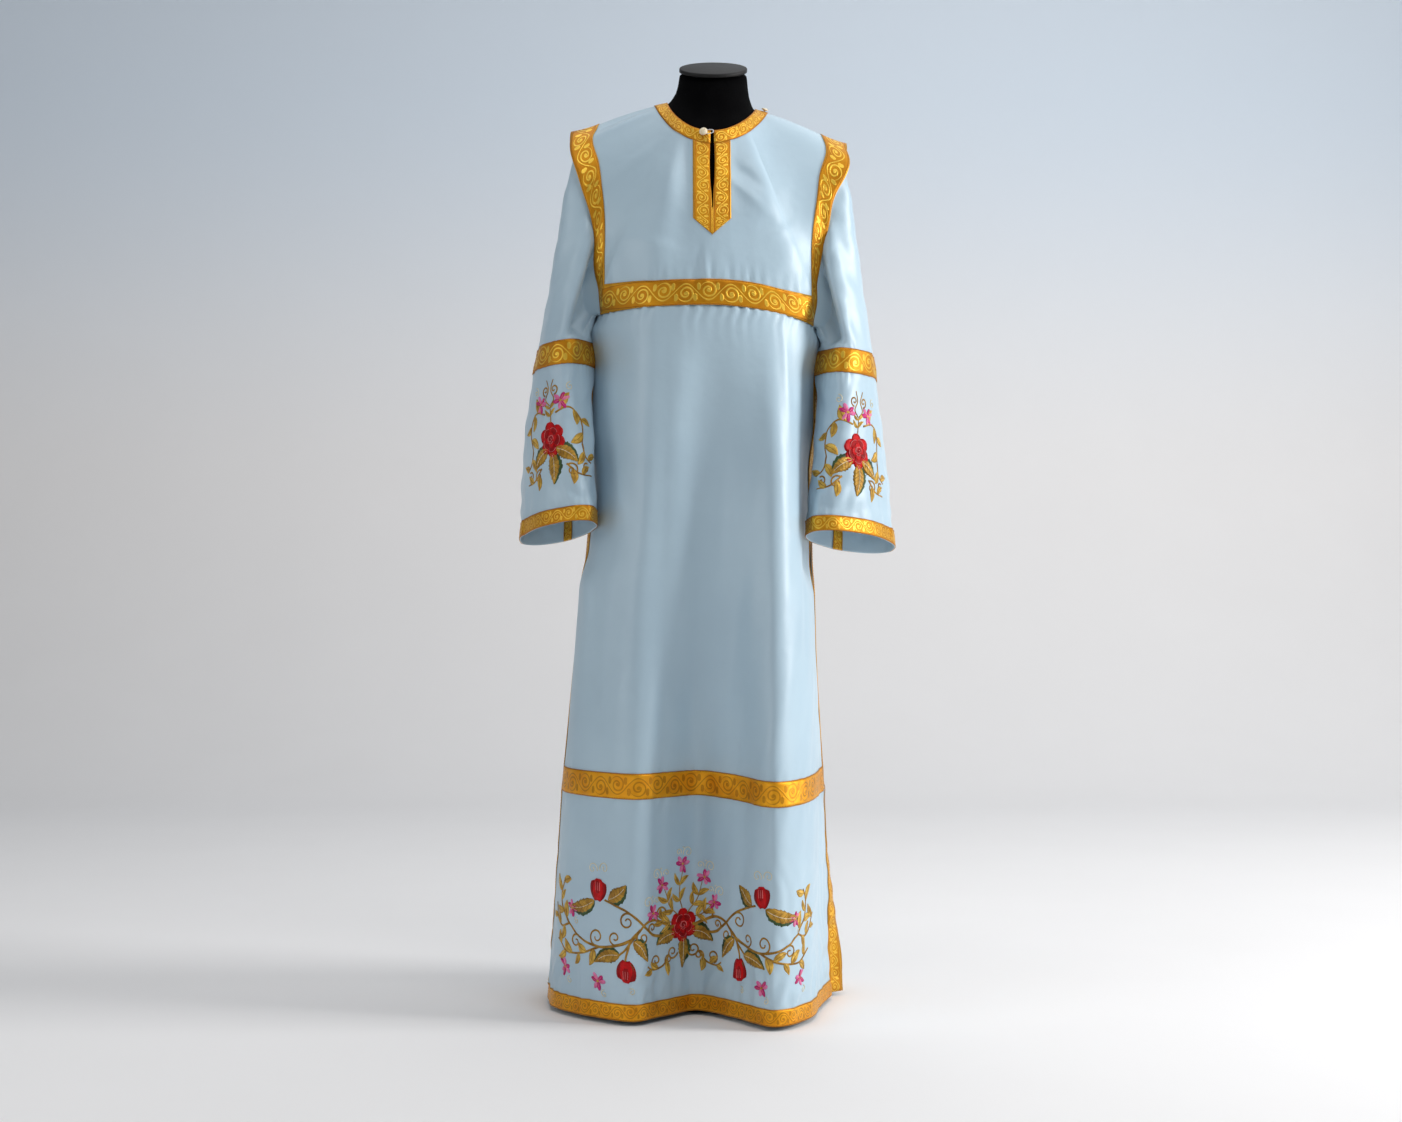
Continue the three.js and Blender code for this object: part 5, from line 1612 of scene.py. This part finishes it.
# Where a curl leaves a vine, its heading, radius, turns and hand.
HALF_CURLS = [
    ((46, 10), 25, 13, 1.2, 1),
    ((66, -3), 45, 8, 1.1, 1),
    ((97, 25), 35, 13, 1.25, -1),
    ((88, -4), -55, 11, 1.2, -1),
    ((122, -22), -12, 11, 1.1, 1),
    ((150, -27), 5, 14, 1.2, 1),
    ((172, -16), 40, 11, 1.1, -1),
    ((10, -40), -80, 11, 1.3, 1),
    ((30, -57), 10, 9, 1.2, 1),
    ((54, -57), 10, 10, 1.2, 1),
]
# Base, tip, half width and hand of each big leaf.
HALF_LEAVES = [
    ((134, 44), (104, 68), 10, 1),
    ((152, 40), (189, 26), 9.5, -1),
    ((116, -36), (152, -50), 9.5, 1),
    ((94, -14), (72, -46), 8.5, -1),
    ((16, -10), (52, -24), 10, 1),
]
# Points of a stem with leaflets, the step and length of these, and the side of the first.
HALF_LEAFY = [
    ([(188, 0), (203, 20), (208, 44), (200, 66)], 12.5, 17, 1),
    ([(146, -27), (168, -40), (192, -42), (214, -26)], 14, 17, -1),
    ([(188, 0), (206, -6), (220, 6), (226, 26)], 14, 15, -1),
    ([(28, -42), (40, -56), (58, -60), (70, -54)], 13, 14, -1),
]
# Place, size and turn of the flowers on each side, then place and size of those above the middle rose.
HALF_BLOSSOMS = [(150, -78, 11, 10), (198, -66, 11, 40), (182, 24, 10.5, 20)]
FAN = [(0, 92, 12), (-43, 64, 11), (-62, 24, 11), (40, 71, 11), (60, 35, 11)]
FLOWER_SCALE = 1.25
LEAFLET_SCALE = 1.6


def hem_spray(work, m):
    """One half of the hem's embroidery: m is -1 on the left and 1 on the right."""
    stretch = 1.05 if m < 0 else 1.10

    def turned(p):
        return p[0] * m * stretch * (1 + 0.16 * float(smooth((abs(p[0]) - 120) / 70))), p[1]

    for points in HALF_VINES:
        stem(work, [turned(p) for p in points], 2.6)
    for at, heading, radius, turns, hand in HALF_CURLS:
        tendril(work, turned(at), heading if m > 0 else 180 - heading, radius, turns, hand * m)
    for base, tip, half, hand in HALF_LEAVES:
        big_leaf(work, turned(base), turned(tip), half * FLOWER_SCALE, hand * m)
    for points, every, length, first in HALF_LEAFY:
        leafy(work, [turned(p) for p in points], every * 1.2, length * LEAFLET_SCALE, first * m, 2.0)
    for s, h, size, turn in HALF_BLOSSOMS:
        middle = turned((s, h))
        blossom(work, middle, size * FLOWER_SCALE, turn * m)
        curl(work, (middle[0] + 10, h - 18), 90, 6, 1.0, -m, 0.75, "pale")
    high, low = turned((147, 60)), turned((108, -62))
    bud(work, high, 90 + 6 * m, 36)
    bud(work, low, -90 + 8 * m, 36)
    curl(work, (high[0] - 11, 88), -20, 9.5, 1.15, 1, 0.8, "pale")
    curl(work, (high[0] + 12, 90), 200, 9.5, 1.15, -1, 0.8, "pale")
    curl(work, (low[0] + 8, -89), 120, 6, 1.0, -1, 0.75, "pale")


def hem_needlework():
    work = Needlework()
    for m in (-1, 1):
        hem_spray(work, m)
    for s, h, size in FAN:
        away = np.array([s, h], float)
        start = away / np.linalg.norm(away) * 20
        bend = left_of(away) * 0.07 * (1 if s <= 0 else -1)
        sprig(work, [start, away * 0.55 + bend, away * 0.9], (0.30, 0.66), 22)
        blossom(work, (s, h), size * 1.2, s)
        lean = 1 if s >= 0 else -1
        curl(work, (s + 11 * lean, h + 17), 200 if lean > 0 else -20, 9.5, 1.2, -lean, 0.8, "pale")
        curl(work, (s - 8 * lean, h + 18), -20 if lean > 0 else 200, 6, 1.0, lean, 0.75, "pale")
        dot(work, "pale", (s + 2 * lean, h + 25), 1.3)
    big_leaf(work, (0, -18), (-2, -64), 12.5, 1)
    rose(work, (0, 0), 54, 50)
    return work


# Points of a stem with leaflets, the step and length of these, and the side of the first.
SLEEVE_VINES = [
    ([(10, 40), (30, 46), (43, 34), (47, 12), (44, -10)], 15, 17, 1),
    ([(44, -10), (48, -28), (60, -38)], 13, 15, -1),
    ([(22, -40), (38, -56), (58, -58)], 14, 15, -1),
]
# Centre, first angle, radius, turns and hand of each curl.
SLEEVE_CURLS = [
    ((9, 76), -90, 7, 1.1, 1),
    ((30, -50), 120, 9, 1.2, -1),
    ((52, -47), 60, 7, 1.1, 1),
]


def sleeve_needlework():
    work = Needlework()
    stem(work, [(0, 18), (1, 34), (0, 50)], 1.2)
    for m in (-1, 1):
        for points, every, length, first in SLEEVE_VINES:
            path = [(s * m * 1.2, h) for s, h in points]
            leafy(work, path, every * 1.3, length * LEAFLET_SCALE, first * m, 1.7)
        for (s, h), start, radius, turns, hand in SLEEVE_CURLS:
            start = start if m > 0 else 180 - start
            curl(work, (s * m * 1.15, h), start, radius * 1.15, turns, hand * m, 1.5)
        stem(work, [(1 * m, 52), (9 * m, 62), (3 * m, 76), (8 * m, 92)], 1.3)
        leaflet(work, (0, 36), 90 - 46 * m, 16)
        leaflet(work, (0, 48), 90 - 58 * m, 14)
        blossom(work, (23 * m, 57), 15, 12 * m)
        curl(work, (38 * m, 78), 90, 7, 1.1, m, 0.75, "pale")
        big_leaf(work, (10 * m, -14), (44 * m, -38), 12.5, m)
    big_leaf(work, (0, -20), (1, -68), 13.5, 1)
    rose(work, (0, 0), 52, 54, 8)
    return work


def thread_material(name, dark, light, metallic, shine):
    paint = Paint("thread_" + name)
    along, across = paint.cloth_xy()
    stitch = ((along + across.size() * 0.6) * (2 * math.pi / 0.0010)).sine()
    change = paint.noise(90.0).step(0.3, 0.7)
    # The noise gives the thread its own uneven tone; the stitch ridges are painted lighter and the grooves
    # between them darker, a painted highlight and shade along the stitches.
    color = paint.mix(change * 0.7 + stitch * 0.15 + 0.15, srgb(*dark), srgb(*light))
    bump = paint.bump(stitch, 0.00016, 0.55)
    return paint.finish(Base_Color=color, Roughness=0.42 - stitch * 0.05, Metallic=metallic, Normal=bump,
                        Specular_IOR_Level=shine)


# The dark and the light end of each thread's colour (between them lie its uneven tone and the painted
# highlight and shade of its stitches), how metallic it is and how much it shines.
THREAD_LOOKS = {
    "gold": ((164, 116, 22), (236, 194, 86), 0.35, 0.45),
    "green": ((28, 56, 24), (62, 92, 40), 0.0, 0.45),
    "bronze": ((142, 98, 20), (212, 164, 60), 0.35, 0.45),
    "vine": ((122, 80, 12), (192, 144, 46), 0.3, 0.45),
    "vein": ((96, 70, 20), (132, 98, 34), 0.1, 0.45),
    "red": ((180, 4, 10), (216, 10, 18), 0.0, 0.2),
    "crimson": ((134, 2, 8), (172, 4, 12), 0.0, 0.2),
    "rosy": ((222, 110, 112), (240, 150, 148), 0.0, 0.2),
    "pink": ((214, 84, 146), (244, 146, 192), 0.0, 0.25),
    "magenta": ((178, 26, 98), (212, 50, 132), 0.0, 0.25),
    "pale": ((212, 198, 160), (240, 232, 206), 0.0, 0.45),
}
THREADS = {name: thread_material(name, *look) for name, look in THREAD_LOOKS.items()}


def nearest_column(points, row, x):
    forward = points[row, :, 1] < 0
    distance = np.abs(points[row, :, 0] - x) + np.where(forward, 0, 1000)
    return int(np.argmin(distance))


HEM_ROSE = {"x": -39, "z": 139}
SLEEVE_ROSES = {"left": {"x": -236, "z": 872}, "right": {"x": 227, "z": 854}}

column = nearest_column(front, row_at(HEM_ROSE["z"]), HEM_ROSE["x"])
hem_needlework().make("hem", Cloth(front, grid_normals(front), column, HEM_ROSE["z"]))
for side, (points, normals, angles) in SLEEVES.items():
    place = SLEEVE_ROSES[side]
    row = UPPER_ROWS + int(np.argmin(np.abs(points[UPPER_ROWS:, 0, 2] - place["z"])))
    middle = len(angles) // 2
    turn = middle - nearest_column(points, row, place["x"])
    lower = (np.roll(grid[UPPER_ROWS:], turn, axis=1) for grid in (points, normals))
    sleeve_needlework().make(f"sleeve_{side}", Cloth(*lower, middle, place["z"]))


# Dress form and notions, on the shapes of the part

def smooth_copy(name, node, material, slot, level, angle=40):
    mesh = bpy.data.objects[node].data.copy()
    mesh.name = name
    obj = add_object(name, mesh)
    weld = obj.modifiers.new("weld", "WELD")
    weld.merge_threshold = 0.00002
    if level:
        rounder = obj.modifiers.new("rounder", "SUBSURF")
        rounder.levels = rounder.render_levels = level
    bake_modifiers(obj)
    obj.data.set_sharp_from_angle(angle=math.radians(angle))
    piece(obj, material, slot, node)


smooth_copy("form_body", "form_torso", JERSEY, "form_jersey", 1)
smooth_copy("form_cap", "form_neck_cap", CAP, "form_jersey", 0)
smooth_copy("stand_pole", "form_pole", STAND, "stand_metal", 0)
smooth_copy("stand_plate", "form_base", STAND, "stand_metal", 0)
smooth_copy("button_collar", "collar_button", PEARL, "button", 1, 60)
smooth_copy("button_shoulder", "shoulder_button", PEARL, "button", 1, 60)
smooth_copy("loop_cord", "button_loop", CORD, "loop_cord", 1, 180)


# Sheet sizes of the cloth and galloon pieces

def measure_sheet(obj):
    """Length along the weave and across it, from the cloth map."""
    layer = obj.data.uv_layers["weave"].data
    uv = np.empty(len(layer) * 2, np.float32)
    layer.foreach_get("uv", uv)
    uv = uv.reshape(-1, 2)
    return float(np.ptp(uv[:, 0])), float(np.ptp(uv[:, 1]))


for name, obj in PIECES.items():
    if name.startswith(("cloth_", "band_")):
        width, length = measure_sheet(obj)
        if name == "band_placket":
            length = 2 * length  # both halves lie on one strip of the cloth map
